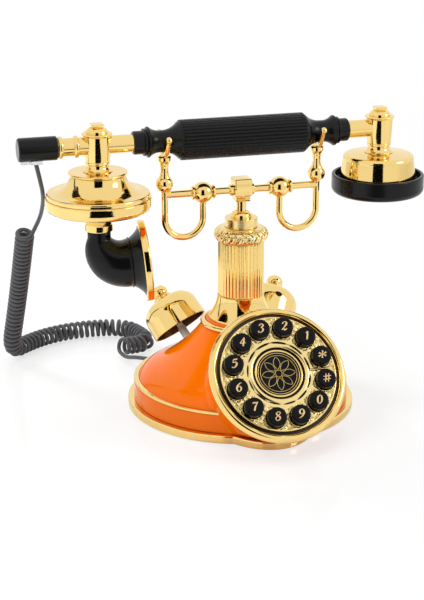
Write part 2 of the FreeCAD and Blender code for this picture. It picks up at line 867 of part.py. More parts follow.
def at_bell(shape):
    """Piece drawn about Z from the bell's mouth, set at the right-hand bell."""
    return set_on(shape, Vector(bell_x, bell_y, bell_z), bell_axis)


def both(shape):
    """A right-hand piece and its mirror image as one group."""
    return Part.makeCompound([shape, mirrored(shape)])


def build_bell():
    """Thin cup with a straight band and a domed top, bored for the stud."""
    hole = bell_stud_radius + seat_play
    inside = bell_height - bell_wall
    shoulder = bell_band_radius * 0.86
    return at_bell(turned((bell_mouth_radius - bell_wall, 0), (bell_mouth_radius, 0),
                          (bell_band_radius, bell_band_height),
                          ((shoulder, bell_height - 4.0), (bell_flat_radius, bell_height)),
                          (hole, bell_height), (hole, inside), (bell_flat_radius, inside),
                          ((shoulder - 1.1, inside - 3.7),
                           (bell_band_radius - bell_wall, bell_band_height))))


def build_bell_post():
    """Bright post from the dome to the bell's top, with the stud for the nut."""
    inside = bell_height - bell_wall
    post = turned((0, -40), (bell_post_radius, -40), (bell_post_radius, inside), (bell_stud_radius, inside),
                  (bell_stud_radius, bell_height + 4), (0, bell_height + 4))
    return at_bell(post).cut(dome_solid(0))


def build_bell_nut():
    """Turned nut on the bell: a flange and a ball-shaped head, bored blind."""
    low = bell_height
    high = low + bell_nut_height
    bore = bell_stud_radius + seat_play
    return at_bell(turned((bore, low), (bell_nut_radius, low), (bell_nut_radius, low + 1.8),
                          (bell_nut_head_radius - 1.0, low + 2.6),
                          ((bell_nut_head_radius, low + 6.0), (bell_nut_head_radius - 2.6, high - 0.7)), (0, high),
                          (0, low + 4.5), (bore, low + 4.5)))


# Handset

def build_grip():
    """Ribbed body with a waist, a bead and a ferrule turned at each end, bored for the tubes."""
    body = fluted_bar(grip_radius, grip_rib_count, grip_rib_depth, grip_rib_share,
                      -grip_body_half, grip_body_half)
    shoulder = grip_body_half + 1.2
    bead = bead_offset
    end = turned((0, grip_body_half - 6), (grip_radius - grip_rib_depth, grip_body_half - 6),
                 (grip_radius - grip_rib_depth, grip_body_half), (grip_radius - 1.2, shoulder),
                 ((waist_radius + 1.2, shoulder + 4.6), (waist_radius, waist_offset)),
                 ((waist_radius + 0.7, bead - 3.2), (bead_radius, bead)), (bead_radius, bead + 0.9),
                 (bead_radius - 1.5, bead + 1.7), (bead_radius - 1.1, bead + 2.1),
                 (bead_radius - 1.1, bead + 3.4),
                 (ferrule_radius, bead + 3.9), (ferrule_radius, ferrule_end - 0.8),
                 (ferrule_radius - 0.8, ferrule_end), (0, ferrule_end))
    grip = body.fuse([end, end.mirror(Vector(0, 0, 0), Vector(0, 0, 1))])
    for low in (-ferrule_end - 1, ferrule_end - tube_depth):
        grip = grip.cut(rod(tube_radius + seat_play, low, low + tube_depth + 1))
    return along_x(grip, handset_height)


def hub_blank():
    """Turned hub about its own axis, without its bore."""
    belly = handset_height - 1.0
    low = hub_foot + 5.4
    return turned((0, hub_foot), (hub_foot_radius, hub_foot), (hub_foot_radius, hub_foot + 0.6),
                  ((hub_waist_radius + 0.3, hub_foot + 2.6), (hub_waist_radius, low - 0.6)),
                  (hub_low_radius, low), ((hub_radius - 0.25, belly), (hub_radius, hub_top - 1.8)),
                  (hub_flange_radius - 0.6, hub_top - 1.4), (hub_flange_radius, hub_top - 0.7),
                  (hub_flange_radius - 0.4, hub_top), (0, hub_top))


def build_hub():
    """Right-hand hub with the wire's bore down its axis."""
    return moved(hub_blank().cut(rod(hub_bore, hub_foot - 1, hub_top + 1)), hub_offset, 0, 0)


def build_finial():
    """Right-hand finial: a dome and a flared square nut, with a spigot in the hub's bore."""
    dome = turned((0, hub_top - finial_spigot_length), (finial_spigot_radius, hub_top - finial_spigot_length),
                  (finial_spigot_radius, hub_top), (finial_radius, hub_top), (finial_radius, hub_top + 1.0),
                  ((finial_radius - 1.6, hub_top + finial_dome_height * 0.74), (2.4, finial_dome_top)),
                  (0, finial_dome_top))
    square = [Vector(x * finial_nut_width / 2, y * finial_nut_width / 2, finial_top)
              for x, y in ((-1, -1), (1, -1), (1, 1), (-1, 1), (-1, -1))]
    small = [Vector(p.x * 0.62, p.y * 0.62, finial_dome_top - 0.6) for p in square]
    nut = Part.makeLoft([Part.makePolygon(small), Part.makePolygon(square)], True, True)
    return moved(dome.fuse(nut), hub_offset, 0, 0)


def build_arm_tubes():
    """The two tubes between grip and hubs, and the ringed tube on the cord side."""
    hub = moved(hub_blank(), hub_offset, 0, 0)
    low = ferrule_end - tube_depth
    inner = tube_radius - tube_wall
    plain = along_x(tube(tube_radius, inner, low, hub_offset), handset_height).cut(hub)
    ringed = rod(tube_radius, -cord_cap_inner, -hub_offset)
    for offset in cord_arm_ring_offsets:
        half = cord_arm_ring_width / 2
        ring = turned((0, -offset - half), (cord_arm_ring_radius - 0.6, -offset - half),
                      ((cord_arm_ring_radius, -offset), (cord_arm_ring_radius - 0.6, -offset + half)),
                      (0, -offset + half))
        ringed = ringed.fuse(ring)
    ringed = ringed.cut(rod(inner, -cord_cap_inner - 1, 0))
    ringed = along_x(ringed, handset_height).cut(mirrored(hub))
    return Part.makeCompound([plain, mirrored(plain), ringed])


def build_cord_cap():
    """Black end cap with the socket for the plug in its underside."""
    cap = along_x(turned((0, -cord_cap_outer), (cord_cap_radius - 1.5, -cord_cap_outer),
                         ((cord_cap_radius - 0.45, -cord_cap_outer + 0.45),
                          (cord_cap_radius, -cord_cap_outer + 1.5)),
                         (cord_cap_radius, -cord_cap_inner - 0.8), (cord_cap_radius - 0.8, -cord_cap_inner),
                         (0, -cord_cap_inner)), handset_height)
    low = handset_height - cord_cap_radius
    pocket = block(plug_length + 2 * seat_play, plug_width + 2 * seat_play, low - 1,
                   low + plug_depth + seat_play, -plug_offset)
    return cap.cut(pocket)


plug_foot = handset_height - cord_cap_radius - plug_proud


def build_handset_plug():
    """Clear plug in the cap: body, flange below and the latch tongue."""
    low = handset_height - cord_cap_radius
    body = block(plug_length, plug_width, plug_foot, low + plug_depth, -plug_offset)
    tongue = block(plug_length + 6.0, 3.2, plug_foot, plug_foot + 0.8, -plug_offset - 3.0)
    return body.fuse(tongue).removeSplitter()


# Mouthpiece

def at_mouth(shape):
    """Piece drawn about the mouthpiece's axis, set on the left-hand side."""
    return moved(shape, -hub_offset, 0, 0)


def build_mic_upper():
    """Trumpet-shaped upper housing with a rolled lip."""
    flare_foot = mic_plate_radius - 2.0
    inner = mic_plate_radius - mic_wall
    neck = mic_flange_radius - 1.2
    return at_mouth(turned((hub_bore, mic_top), (mic_flange_radius - 0.9, mic_top),
                           ((mic_flange_radius, mic_top - 0.9), (mic_flange_radius - 0.9, mic_top - 1.8)),
                           (neck, mic_top - 2.2),
                           ((neck + 3.6, mic_plate_height + 4.0), (flare_foot, mic_plate_height)),
                           (mic_plate_radius - 0.8, mic_plate_height),
                           ((mic_plate_radius, mic_plate_height - 0.8),
                            (mic_plate_radius, mic_plate_height - 1.4)),
                           (mic_plate_radius, mic_joint), (inner, mic_joint),
                           (inner, mic_plate_height - mic_wall),
                           (flare_foot - 1.4, mic_plate_height - mic_wall),
                           ((neck + 1.6, mic_plate_height + 2.8), (neck - mic_wall, mic_top - 4.2)),
                           (neck - mic_wall, mic_top - mic_wall - 1.0), (hub_bore, mic_top - mic_wall - 1.0)))


capsule_seat = mic_under - 1.2


def build_mic_lower():
    """Lower band, rounded under, drawn in to the collar that carries the horn."""
    inner = mic_band_radius - mic_wall
    bore = horn_throat_radius - horn_wall
    return at_mouth(turned((inner, mic_joint), (mic_band_radius - 0.5, mic_joint),
                           (mic_band_radius, mic_joint - 0.5), (mic_band_radius, mic_under + 4.2),
                           ((mic_band_radius - 0.9, mic_under + 1.5), (mic_under_radius, mic_under)),
                           (mic_collar_radius + 2.6, mic_collar_top + 1.0),
                           (mic_collar_radius, mic_collar_top - 0.6), (mic_collar_radius, mic_collar_bottom),
                           (bore, mic_collar_bottom), (bore, capsule_seat - 2.0), (bore + 2.0, capsule_seat),
                           (mic_seat_radius, capsule_seat), (mic_under_radius - 2.0, mic_under + mic_wall),
                           (inner, mic_under + 4.4)))


def build_capsule():
    """Microphone capsule on the seat in the lower housing."""
    top = capsule_seat + capsule_height
    return at_mouth(turned((0, capsule_seat), (capsule_radius - 1.5, capsule_seat),
                           (capsule_radius - 1.5, capsule_seat + 2.0), (capsule_radius, capsule_seat + 2.0),
                           (capsule_radius, top - 1.0), (capsule_radius - 1.0, top), (0, top)))


def horn_section(step):
    """Centre, direction and outer radius of the horn's bend at a step of its turn."""
    t = step / (horn_sections - 1)
    turn = math.radians(horn_turn) * t
    centre = Vector(-hub_offset + horn_bend_radius * (1 - math.cos(turn)), 0,
                    horn_bend_height - horn_bend_radius * math.sin(turn))
    direction = Vector(math.sin(turn), 0, -math.cos(turn))
    radius = horn_throat_radius + (horn_exit_radius - horn_throat_radius) * (1 - (1 - t) ** 2)
    bulge = horn_bulge * math.sin(math.pi * t)
    return centre - Vector(math.cos(turn), 0, math.sin(turn)) * bulge, direction, radius + bulge


def horn_bend(inset):
    """Full solid of the horn's widening bend, drawn in by inset."""
    rings = []
    for step in range(horn_sections):
        centre, direction, radius = horn_section(step)
        rings.append(Part.Wire(Part.Circle(centre, direction, radius - inset).toShape()))
    return Part.makeLoft(rings, True, False)


def at_horn(shape):
    """Piece drawn about Z from the end of the bend, set on the horn's axis."""
    centre, direction, radius = horn_section(horn_sections - 1)
    return set_on(shape, centre, direction, Vector(0, 1, 0))


def swivelled(shape):
    """Horn piece turned about the mouthpiece's axis."""
    shape.rotate(Vector(-hub_offset, 0, 0), Vector(0, 0, 1), horn_swivel)
    return shape


def build_horn():
    """Black horn: straight throat, widening bend, bead ring and cone, with one wall all along."""
    throat = moved(rod(horn_throat_radius, horn_bend_height, mic_collar_bottom), -hub_offset, 0, 0)
    way_in = moved(rod(horn_throat_radius - horn_wall + 0.1, horn_bend_height - 0.4, mic_collar_bottom + 1),
                   -hub_offset, 0, 0)
    cone_middle = (horn_exit_radius + horn_cone_radius) / 2 - 0.9
    neck = horn_exit_radius + 0.3
    mouth = horn_exit_radius - horn_wall + 0.15
    cone = at_horn(turned((0, -0.9), (neck, -0.9), ((horn_ring_radius, 0.3), (neck, 1.5)),
                          ((cone_middle, horn_cone_length * 0.56), (horn_cone_radius, horn_cone_length)),
                          (0, horn_cone_length)))
    way_out = at_horn(turned((0, -0.5), (mouth, -0.5), (mouth, 1.6),
                             ((cone_middle - horn_wall, horn_cone_length * 0.56),
                              (horn_cone_radius - horn_wall, horn_cone_length)),
                             (horn_cone_radius - horn_wall, horn_cone_length + 1), (0, horn_cone_length + 1)))
    outside = horn_bend(0).fuse([throat, cone])
    return swivelled(outside.cut(horn_bend(horn_wall)).cut(way_in).cut(way_out))


def build_horn_rim():
    """Gold ring round the horn's mouth with a rolled front edge."""
    low = horn_cone_length - horn_rim_overlap
    high = low + horn_rim_width
    inner = horn_cone_radius - horn_wall
    seat = horn_cone_radius + seat_play
    ring = turned((seat, low), (horn_rim_radius - 0.6, low), (horn_rim_radius, low + 0.6),
                  (horn_rim_radius, high - 1.2),
                  ((horn_rim_radius - 0.5, high - 0.2), (horn_rim_radius - 1.6, high)),
                  (inner + 0.6, high - 1.6), (inner, horn_cone_length), (seat, horn_cone_length))
    return swivelled(at_horn(ring))


# Earpiece

def at_ear(shape):
    """Piece drawn about the earpiece's axis, set on the right-hand side."""
    return moved(shape, hub_offset, 0, 0)


def build_ear_dome():
    """Gold dome: flat top, round shoulder and a slightly flared side, open below."""
    inner = ear_dome_radius - ear_dome_wall
    return at_ear(turned((hub_bore, hub_foot), (hub_foot_radius + 1.0, hub_foot),
                         (ear_shoulder_radius, ear_shoulder),
                         ((ear_shoulder_radius + 1.2, ear_shoulder - 0.8),
                          (ear_shoulder_radius + 1.7, ear_shoulder - 2.6)),
                         (ear_dome_radius, ear_seat + 4.0), (ear_dome_radius, ear_seat), (inner, ear_seat),
                         (inner, ear_seat + 4.0), (ear_shoulder_radius, ear_shoulder - 3.2),
                         (ear_shoulder_radius - 1.6, ear_shoulder - 1.8), (hub_bore, hub_foot - 2.2)))


def build_ear_cap():
    """Black cap: outer lip with a gap round the dome, dished face with sound holes."""
    lip = ear_cap_radius - ear_lip_width
    face = ear_cap_radius - 4.8
    ring = ear_dome_radius - ear_dome_wall - 0.6
    cap = turned((0, ear_cap_bottom + ear_dish_depth),
                 ((face * 0.5, ear_cap_bottom + ear_dish_depth * 0.72), (face, ear_cap_bottom)),
                 ((ear_cap_radius - 0.9, ear_cap_bottom + 1.6), (ear_cap_radius, ear_cap_bottom + 5.0)),
                 (ear_cap_radius, ear_lip_top - 1.0), ((ear_cap_radius - 0.3, ear_lip_top - 0.3),
                                                      (ear_cap_radius - 1.0, ear_lip_top)),
                 (lip, ear_lip_top - 0.2), (lip - 0.4, ear_seat), (ring, ear_seat), (ring, ear_floor),
                 (0, ear_floor))
    for i in range(ear_hole_count):
        x, y = polar(ear_hole_circle, 360 * i / ear_hole_count)
        cap = cap.cut(rod(ear_hole_radius, ear_cap_bottom - 1, ear_floor + 1, x, y))
    return at_ear(cap.cut(rod(ear_hole_radius, ear_cap_bottom - 1, ear_floor + 1)))


def build_receiver():
    """Receiver capsule on the cap's floor, inside the dome."""
    top = ear_floor + receiver_height
    return at_ear(turned((0, ear_floor), (receiver_radius, ear_floor), (receiver_radius, top - 3.0),
                         (receiver_radius - 5.0, top - 3.0), (receiver_radius - 5.0, top), (0, top)))


# Cord

def quadratic_route(points):
    """Smooth curve of degree two that starts and ends on its points and is drawn towards the others."""
    count = len(points)
    inner = count - 3
    knots = [float(i) for i in range(inner + 2)]
    multiplicities = [3] + [1] * inner + [3]
    curve = Part.BSplineCurve()
    curve.buildFromPolesMultsKnots([Vector(*p) for p in points], multiplicities, knots, False, 2)
    return curve


def coil_points():
    """Points of the curly cord with their turn: a helix round its route.

    The frame is carried along the route without twist.  The turn grows with the length over the local pitch,
    which opens where the route bends, in the middle of the table and at both ends; the whole is scaled so that
    the coil has its number of turns.
    """
    curve = quadratic_route(coil_route)
    length = curve.length()
    step = length / coil_steps
    places = [curve.parameterAtDistance(step * i, curve.FirstParameter) for i in range(coil_steps + 1)]
    bends = [curve.curvature(u) for u in places]
    reach = int(4.5 / step)
    turn = 0.0
    turns = []
    for i in range(coil_steps + 1):
        here = step * i
        tightest = max(bends[max(0, i - reach):i + reach + 1])
        from_spread = (here / length - coil_spread_place) / coil_spread_share
        pitch = coil_pitch + coil_spread * math.exp(-from_spread ** 2)
        pitch = max(pitch, (2 * cord_radius + coil_inner_gap) / (1 - coil_radius * tightest))
        pitch += coil_start_pull * math.exp(-(here / coil_start_pull_length) ** 2)
        pitch += coil_end_pull * math.exp(-((length - here) / coil_end_pull_length) ** 2)
        turns.append(turn)
        turn += step / pitch
    scale = 2 * math.pi * coil_turns / turns[-1]
    normal = Vector(1, 0, 0)
    points = []
    for u, turn in zip(places, turns):
        tangent = curve.tangent(u)[0]
        normal = (normal - tangent * normal.dot(tangent)).normalize()
        across = tangent.cross(normal)
        arm = normal * math.cos(turn * scale) - across * math.sin(turn * scale)
        points.append((curve.value(u) + arm * coil_radius, turn * scale))
    return points


def helix_nodes(points):
    """Points and directions of the helix at every half turn and at its end."""
    nodes = []
    wanted = points[1][1]
    last = points[-2][1]
    for i in range(1, len(points) - 1):
        if points[i][1] >= wanted and (i == len(points) - 2 or last - points[i][1] > 1):
            direction = (points[i + 1][0] - points[i - 1][0]).normalize()
            nodes.append((points[i][0], direction))
            wanted = min(points[i][1] + math.pi, last)
    return nodes


def biarc(start, direction, end, last_direction):
    """Two arcs that leave start along direction and reach end along last_direction."""
    chord = end - start
    both_ways = direction + last_direction
    a = 4 - both_ways.dot(both_ways)
    b = 2 * chord.dot(both_ways)
    reach = (-b + math.sqrt(b * b + 4 * a * chord.dot(chord))) / (2 * a)
    first = start + direction * reach
    second = end - last_direction * reach
    joint = (first + second) * 0.5
    arcs = []
    for p, q, corner in ((start, joint, first), (joint, end, second)):
        middle_chord = (p + q) * 0.5
        half = (q - p).Length / 2
        height = (corner - middle_chord).Length
        rise = height * half / (half + math.hypot(half, height))
        towards = (corner - middle_chord).normalize()
        arcs.append(Part.Arc(p, middle_chord + towards * rise, q).toShape())
    return arcs


def wound(nodes, radius, stub):
    """Tube along biarcs between the helix's half turns, straight for a stub at both ends."""
    edges = [Part.LineSegment(nodes[0][0] - nodes[0][1] * stub, nodes[0][0]).toShape()]
    for (p, d), (q, e) in zip(nodes, nodes[1:]):
        edges += biarc(p, d, q, e)
    edges.append(Part.LineSegment(nodes[-1][0], nodes[-1][0] + nodes[-1][1] * stub).toShape())
    return swept(Part.Wire(edges), radius)


def least_gap(points):
    """Least clear distance between one turn of the coil and any other, on points half a millimetre apart."""
    sites = [points[0][0]]
    for p, turn in points:
        if (p - sites[-1]).Length > 0.5:
            sites.append(p)
    cell = 4 * cord_radius
    grid = {}
    for i, p in enumerate(sites):
        grid.setdefault((int(p.x // cell), int(p.y // cell), int(p.z // cell)), []).append(i)
    best = cell
    for (a, b, c), inside in grid.items():
        near = [k for x in (-1, 0, 1) for y in (-1, 0, 1) for z in (-1, 0, 1)
                for k in grid.get((a + x, b + y, c + z), [])]
        for i in inside:
            for k in near:
                if k - i > 24:
                    best = min(best, (sites[i] - sites[k]).Length)
    return best - 2 * cord_radius


def lead(points, name):
    """Tube of straight runs joined by tangent arcs."""
    edges = []
    here = points[0]
    for before, corner, after in zip(points, points[1:], points[2:]):
        way_in = (corner - before).normalize()
        way_out = (after - corner).normalize()
        half_turn = way_in.getAngle(way_out) / 2
        run = min((corner - before).Length, (after - corner).Length)
        cut_back = 0.45 * run
        radius = cut_back / math.tan(half_turn)
        start = corner - way_in * cut_back
        end = corner + way_out * cut_back
        inwards = (way_out - way_in).normalize()
        middle = corner + inwards * (math.hypot(radius, cut_back) - radius)
        edges.append(Part.LineSegment(here, start).toShape())
        edges.append(Part.Arc(start, middle, end).toShape())
        here = end
        print(name, "bend radius", round(radius, 1))
    edges.append(Part.LineSegment(here, points[-1]).toShape())
    path = Part.Wire(edges)
    solid = swept(path, cord_radius)
    print(name, "length", round(path.Length, 1), "volume over section times length",
          round(solid.Volume / (math.pi * cord_radius ** 2 * path.Length), 4))
    return solid


def build_spring():
    """Spring round the plunger, from the column's ledge to just below the flange."""
    low = column_ledge_height + spring_wire_radius
    high = stem_flange_height - body_gap - spring_wire_radius
    count = spring_turns * 24
    points = []
    for i in range(-1, count + 2):
        turn = 2 * math.pi * i / 24
        points.append((Vector(spring_radius * math.cos(turn), spring_radius * math.sin(turn),
                              low + (high - low) * i / count), turn))
    return wound(helix_nodes(points), spring_wire_radius, 2 * spring_wire_radius)


def build_base_plug():
    """Clear plug in the cord socket, with a short collar on the cord."""
    sill = jack_floor + seat_play + (jack_height - jack_opening_height) / 2
    middle = base_plug_proud - base_plug_length / 2
    body = block(plug_width, base_plug_length, sill + seat_play, sill + jack_opening_height - seat_play,
                 0, middle)
    return at_jack(body, cord_jack_angle)


def build_cord():
    """The two leads and the curly part, end to end."""
    points = coil_points()
    nodes = helix_nodes(points)
    stub = 2 * cord_radius
    coil = wound(nodes, cord_radius, stub)
    wire = sum((q[0] - p[0]).Length for p, q in zip(points, points[1:]))
    print("coil turns", coil_turns, "wire", round(wire), "least gap", round(least_gap(points), 2))
    top_end = nodes[0][0] - nodes[0][1] * (stub + lead_seam)
    top_points = [Vector(-plug_offset, 0, plug_foot - lead_gap)]
    top_points += [Vector(*p) for p in lead_top_route]
    top_points += [top_end - nodes[0][1] * lead_straight, top_end]
    sill = jack_floor + seat_play + (jack_height - jack_opening_height) / 2
    origin, out = jack_frame(cord_jack_angle)
    base_start = nodes[-1][0] + nodes[-1][1] * (stub + lead_seam)
    base_points = [base_start, base_start + nodes[-1][1] * lead_straight]
    base_points += [Vector(*p) for p in lead_base_route]
    plug_middle = Vector(0, 0, sill + jack_opening_height / 2)
    base_points.append(origin + out * (base_plug_proud + lead_gap) + plug_middle)
    return {"cord_coil": coil, "cord_lead_top": lead(top_points, "top lead"),
            "cord_lead_base": lead(base_points, "base lead")}


# Assembly

def build():
    """Every piece of the phone in its place, by node name."""
    bar = build_bar()
    hook = build_hook()
    fork = build_fork()
    hook_right = hook.cut(bar).cut(fork)
    bar = bar.cut(hook_right).cut(mirrored(hook_right))
    pieces = {
        "base_rim": build_rim(), "base_shell": build_shell(), "base_bead": build_base_bead(),
        "bottom_cover": build_cover(), "foot_ring": build_foot_ring(), "base_screws": build_screws(),
        "ballast_plate": build_ballast(), "main_board": build_main_board(), "hook_switch": build_hook_switch(),
        "ringer": build_ringer(), "modular_jacks": build_jacks(),
        "column_foot": build_foot(), "column": build_column(), "column_collar": build_collar(),
        "stem_guide": build_stem_guide(), "plunger_spring": build_spring(),
        "bells": both(build_bell()), "bell_posts": both(build_bell_post()), "bell_nuts": both(build_bell_nut()),
        "dial_bezel": build_bezel(), "dial_plate": build_plate(), "dial_centre": build_centre(),
        "key_mat": build_mat(), "key_board": build_key_board(),
        "cradle_stem": build_stem(), "cradle_block": build_block(), "cradle_bar": bar,
        "hook_left": mirrored(hook_right), "hook_right": hook_right, "cradle_forks": both(fork),
        "grip": build_grip(), "arm_tubes": build_arm_tubes(), "arm_hubs": both(build_hub()),
        "hub_finials": both(build_finial()), "cord_cap": build_cord_cap(),
        "mic_upper": build_mic_upper(), "mic_lower": build_mic_lower(), "mic_capsule": build_capsule(),
        "horn": build_horn(), "horn_rim": build_horn_rim(),
        "ear_dome": build_ear_dome(), "ear_cap": build_ear_cap(), "receiver": build_receiver(),
        "cord_plug": build_handset_plug(), "cord_base_plug": build_base_plug(),
    }
    for index, name in enumerate(key_names):
        pieces["key_" + name] = build_key(index)
    pieces.update(build_cord())
    return pieces


os.makedirs("parts", exist_ok=True)
for node, shape in build().items():
    if not shape.isValid():
        raise ValueError(node + " is not a valid solid")
    shape.exportStep("parts/" + node + ".step")
    print(node, len(shape.Solids), round(shape.Volume, 1))
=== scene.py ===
import math

import bpy
import numpy as np
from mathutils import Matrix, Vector


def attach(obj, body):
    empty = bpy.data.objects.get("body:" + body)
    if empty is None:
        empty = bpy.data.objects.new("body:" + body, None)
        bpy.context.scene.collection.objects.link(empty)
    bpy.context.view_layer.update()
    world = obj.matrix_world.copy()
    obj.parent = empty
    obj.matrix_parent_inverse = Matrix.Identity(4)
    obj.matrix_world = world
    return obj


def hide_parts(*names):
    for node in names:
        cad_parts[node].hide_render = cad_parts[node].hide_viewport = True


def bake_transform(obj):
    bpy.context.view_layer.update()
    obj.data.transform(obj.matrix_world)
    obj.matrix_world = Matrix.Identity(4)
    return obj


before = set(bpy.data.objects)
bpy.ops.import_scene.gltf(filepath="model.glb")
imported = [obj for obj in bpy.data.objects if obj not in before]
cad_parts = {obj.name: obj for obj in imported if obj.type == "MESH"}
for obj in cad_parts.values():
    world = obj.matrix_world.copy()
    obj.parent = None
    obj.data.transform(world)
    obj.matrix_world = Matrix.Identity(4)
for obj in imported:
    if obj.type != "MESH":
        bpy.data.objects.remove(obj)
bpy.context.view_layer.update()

# The picture's place: a pale table in a plain white room, the camera at the height of a seated person's eyes,
# slightly to the left of the dial.  A dark card upright before the camera and one on the table give the gold
# its dark patches; both are seen in reflections only.
WHITE = (1.0, 1.0, 1.0, 1.0)
scene = bpy.context.scene
scene.view_settings.view_transform = "Standard"
camera = bpy.data.objects.new("camera", bpy.data.cameras.new("camera"))
camera.data.sensor_width = 36.0
camera.data.lens = 96.06
camera.data.clip_end = 50.0
camera.location = (-0.2979, -0.9546, 0.4047)
camera.rotation_euler = Vector((0.2654, 0.9106, -0.3166)).to_track_quat("-Z", "Y").to_euler()
scene.collection.objects.link(camera)
scene.camera = camera


def feed(tree, taker, values):
    """Gives the inputs of a shader node, by name or number, their values; an output of another node is
    linked."""
    for key, value in values.items():
        if isinstance(value, bpy.types.NodeSocket):
            tree.links.new(value, taker.inputs[key])
        else:
            taker.inputs[key].default_value = value
    return taker


def node(tree, kind, values=(), **settings):
    """New shader node with its settings and inputs."""
    made = tree.nodes.new("ShaderNode" + kind)
    for key, value in settings.items():
        setattr(made, key, value)
    return feed(tree, made, dict(values))


def new_finish(name, values):
    """New material whose main shader has these values; its node tree and that shader come with it."""
    made = bpy.data.materials.new(name)
    made.use_nodes = True
    return made, made.node_tree, feed(made.node_tree, made.node_tree.nodes["Principled BSDF"], values)


room = bpy.data.worlds.new("white_room")
room.use_nodes = True
scene.world = room
tree = room.node_tree
dim = feed(tree, tree.nodes["Background"], {"Color": WHITE, "Strength": 0.55})
seen = node(tree, "Background", {"Color": WHITE, "Strength": 1.0})
ray = node(tree, "LightPath").outputs
shown = node(tree, "Math", {0: ray["Is Camera Ray"], 1: ray["Is Glossy Ray"]}, operation="MAXIMUM")
bright = node(tree, "Math", {0: shown.outputs[0], 1: ray["Is Transmission Ray"]}, operation="MAXIMUM")
choice = node(tree, "MixShader", {0: bright.outputs[0], 1: dim.outputs[0], 2: seen.outputs[0]})
feed(tree, tree.nodes["World Output"], {"Surface": choice.outputs[0]})


def new_object(name, points, faces):
    """New object in the scene from points in metres and faces."""
    mesh = bpy.data.meshes.new(name)
    mesh.from_pydata(np.asarray(points).tolist(), [], [list(f) for f in faces])
    made = bpy.data.objects.new(name, mesh)
    scene.collection.objects.link(made)
    return made


def flat_sheet(name, centre, across, up):
    """Rectangle: centre plus or minus the two half-side vectors."""
    centre, across, up = np.array(centre), np.array(across), np.array(up)
    corners = [centre - across - up, centre + across - up, centre + across + up, centre - across + up]
    sheet = new_object(name, corners, [(0, 1, 2, 3)])
    return sheet


floor = flat_sheet("floor", (0, 0, 0), (6, 0, 0), (0, 6, 0))
table, tree, top = new_finish("white_table", {"Base Color": (0.86, 0.86, 0.86, 1.0), "Roughness": 0.12,
                                              "Specular IOR Level": 0.35})
# Towards the edge of the table the camera sees more of an even white glow, so that it has no edge.
glow = node(tree, "Emission", {"Strength": 1.0})
span = node(tree, "VectorMath", {0: node(tree, "TexCoord").outputs["Object"]}, operation="LENGTH")
far = node(tree, "MapRange", {"Value": span.outputs["Value"], "From Min": 0.30, "From Max": 1.10,
                              "To Min": 0.66, "To Max": 1.0})
share = node(tree, "Math", {0: node(tree, "LightPath").outputs["Is Camera Ray"], 1: far.outputs["Result"]},
             operation="MULTIPLY")
mixed = node(tree, "MixShader", {0: share.outputs[0], 1: top.outputs[0], 2: glow.outputs[0]})
feed(tree, tree.nodes["Material Output"], {"Surface": mixed.outputs[0]})
floor.data.materials.append(table)

black_card = new_finish("black_card", {"Base Color": (0.004, 0.004, 0.004, 1.0),
                                       "Specular IOR Level": 0.0})[0]
for name, centre, across, up in (
        ("dark_card", (-0.235, -0.80, 0.40), (0.235, -0.07, 0), (0, 0, 0.40)),
        ("dark_table_card", (-0.19, -0.65, 0.002), (0.21, -0.06, 0), (-0.08, -0.28, 0))):
    card = flat_sheet(name, centre, across, up)
    card.data.materials.append(black_card)
    card.visible_camera = card.visible_shadow = card.visible_diffuse = card.visible_transmission = False

for name, place, aim, sides, power in (
        ("softbox_left", (-1.15, -0.75, 0.85), (0, 0, 0.1), (0.7, 0.9), 10.0),
        ("softbox_behind", (-0.78, 0.95, 0.78), (0, 0, 0.06), (0.34, 0.5), 9.0),
        ("softbox_right", (1.2, -0.7, 0.8), (0, 0, 0.1), (0.5, 0.5), 5.0),
        ("softbox_top", (0.0, 0.15, 1.7), (0, 0, 0.1), (1.1, 1.1), 9.0)):
    lamp = bpy.data.objects.new(name, bpy.data.lights.new(name, "AREA"))
    lamp.data.shape = "RECTANGLE"
    lamp.data.size, lamp.data.size_y = sides
    lamp.data.energy = power
    lamp.location = place
    lamp.rotation_euler = (Vector(aim) - Vector(place)).to_track_quat("-Z", "Y").to_euler()
    lamp.visible_camera = False
    lamp.visible_glossy = name == "softbox_right"
    scene.collection.objects.link(lamp)


# Bottom rim: a ring of gold-plated pressed metal with a lobe that carries the dial housing in front.
# It is pressed from sheet, polished and plated, and the shell stands on its flat top.
def finish_of(name, colour, roughness, spread, grain, bump, metal=0.0, gloss=0.5, hollow_shade=None):
    """Finish with a fine grain: roughness varies by spread round its value, and the grain lifts the surface.
    With a hollow shade colour, the colour goes over to it by the mesh's own depth attribute: painted shade
    that darkens the hollows of chasing."""
    made, tree, skin = new_finish(name, {"Metallic": metal, "Specular IOR Level": gloss})
    place = node(tree, "TexCoord").outputs["Object"]
    cloud = node(tree, "TexNoise", {"Vector": place, "Scale": 38.0, "Detail": 3.0}).outputs[0]
    low, high = (*[c * 0.93 for c in colour], 1.0), (*[min(1.0, c * 1.05) for c in colour], 1.0)
    tone = node(tree, "Mix", {0: cloud, 6: low, 7: high}, data_type="RGBA").outputs[2]
    if hollow_shade:
        sunk_shade = node(tree, "Attribute", attribute_name="depth").outputs["Fac"]
        tone = node(tree, "Mix", {0: sunk_shade, 6: tone, 7: (*hollow_shade, 1.0)}, data_type="RGBA").outputs[2]
    rough = node(tree, "MapRange", {"Value": cloud, "To Min": roughness - spread,
                                    "To Max": roughness + spread})
    fine = node(tree, "TexNoise", {"Vector": place, "Scale": grain, "Detail": 2.0}).outputs[0]
    lift = node(tree, "Bump", {"Height": fine, "Strength": bump, "Distance": 0.0002})
    feed(tree, skin, {"Base Color": tone, "Roughness": rough.outputs["Result"],
                      "Normal": lift.outputs["Normal"]})
    return made


def full_turn(count):
    """Angles of equal steps round a circle, from 0."""
    return np.linspace(0, 2 * math.pi, count, endpoint=False)


def unit(rows):
    """Each row divided by its length."""
    return rows / np.linalg.norm(rows, axis=1)[:, None]


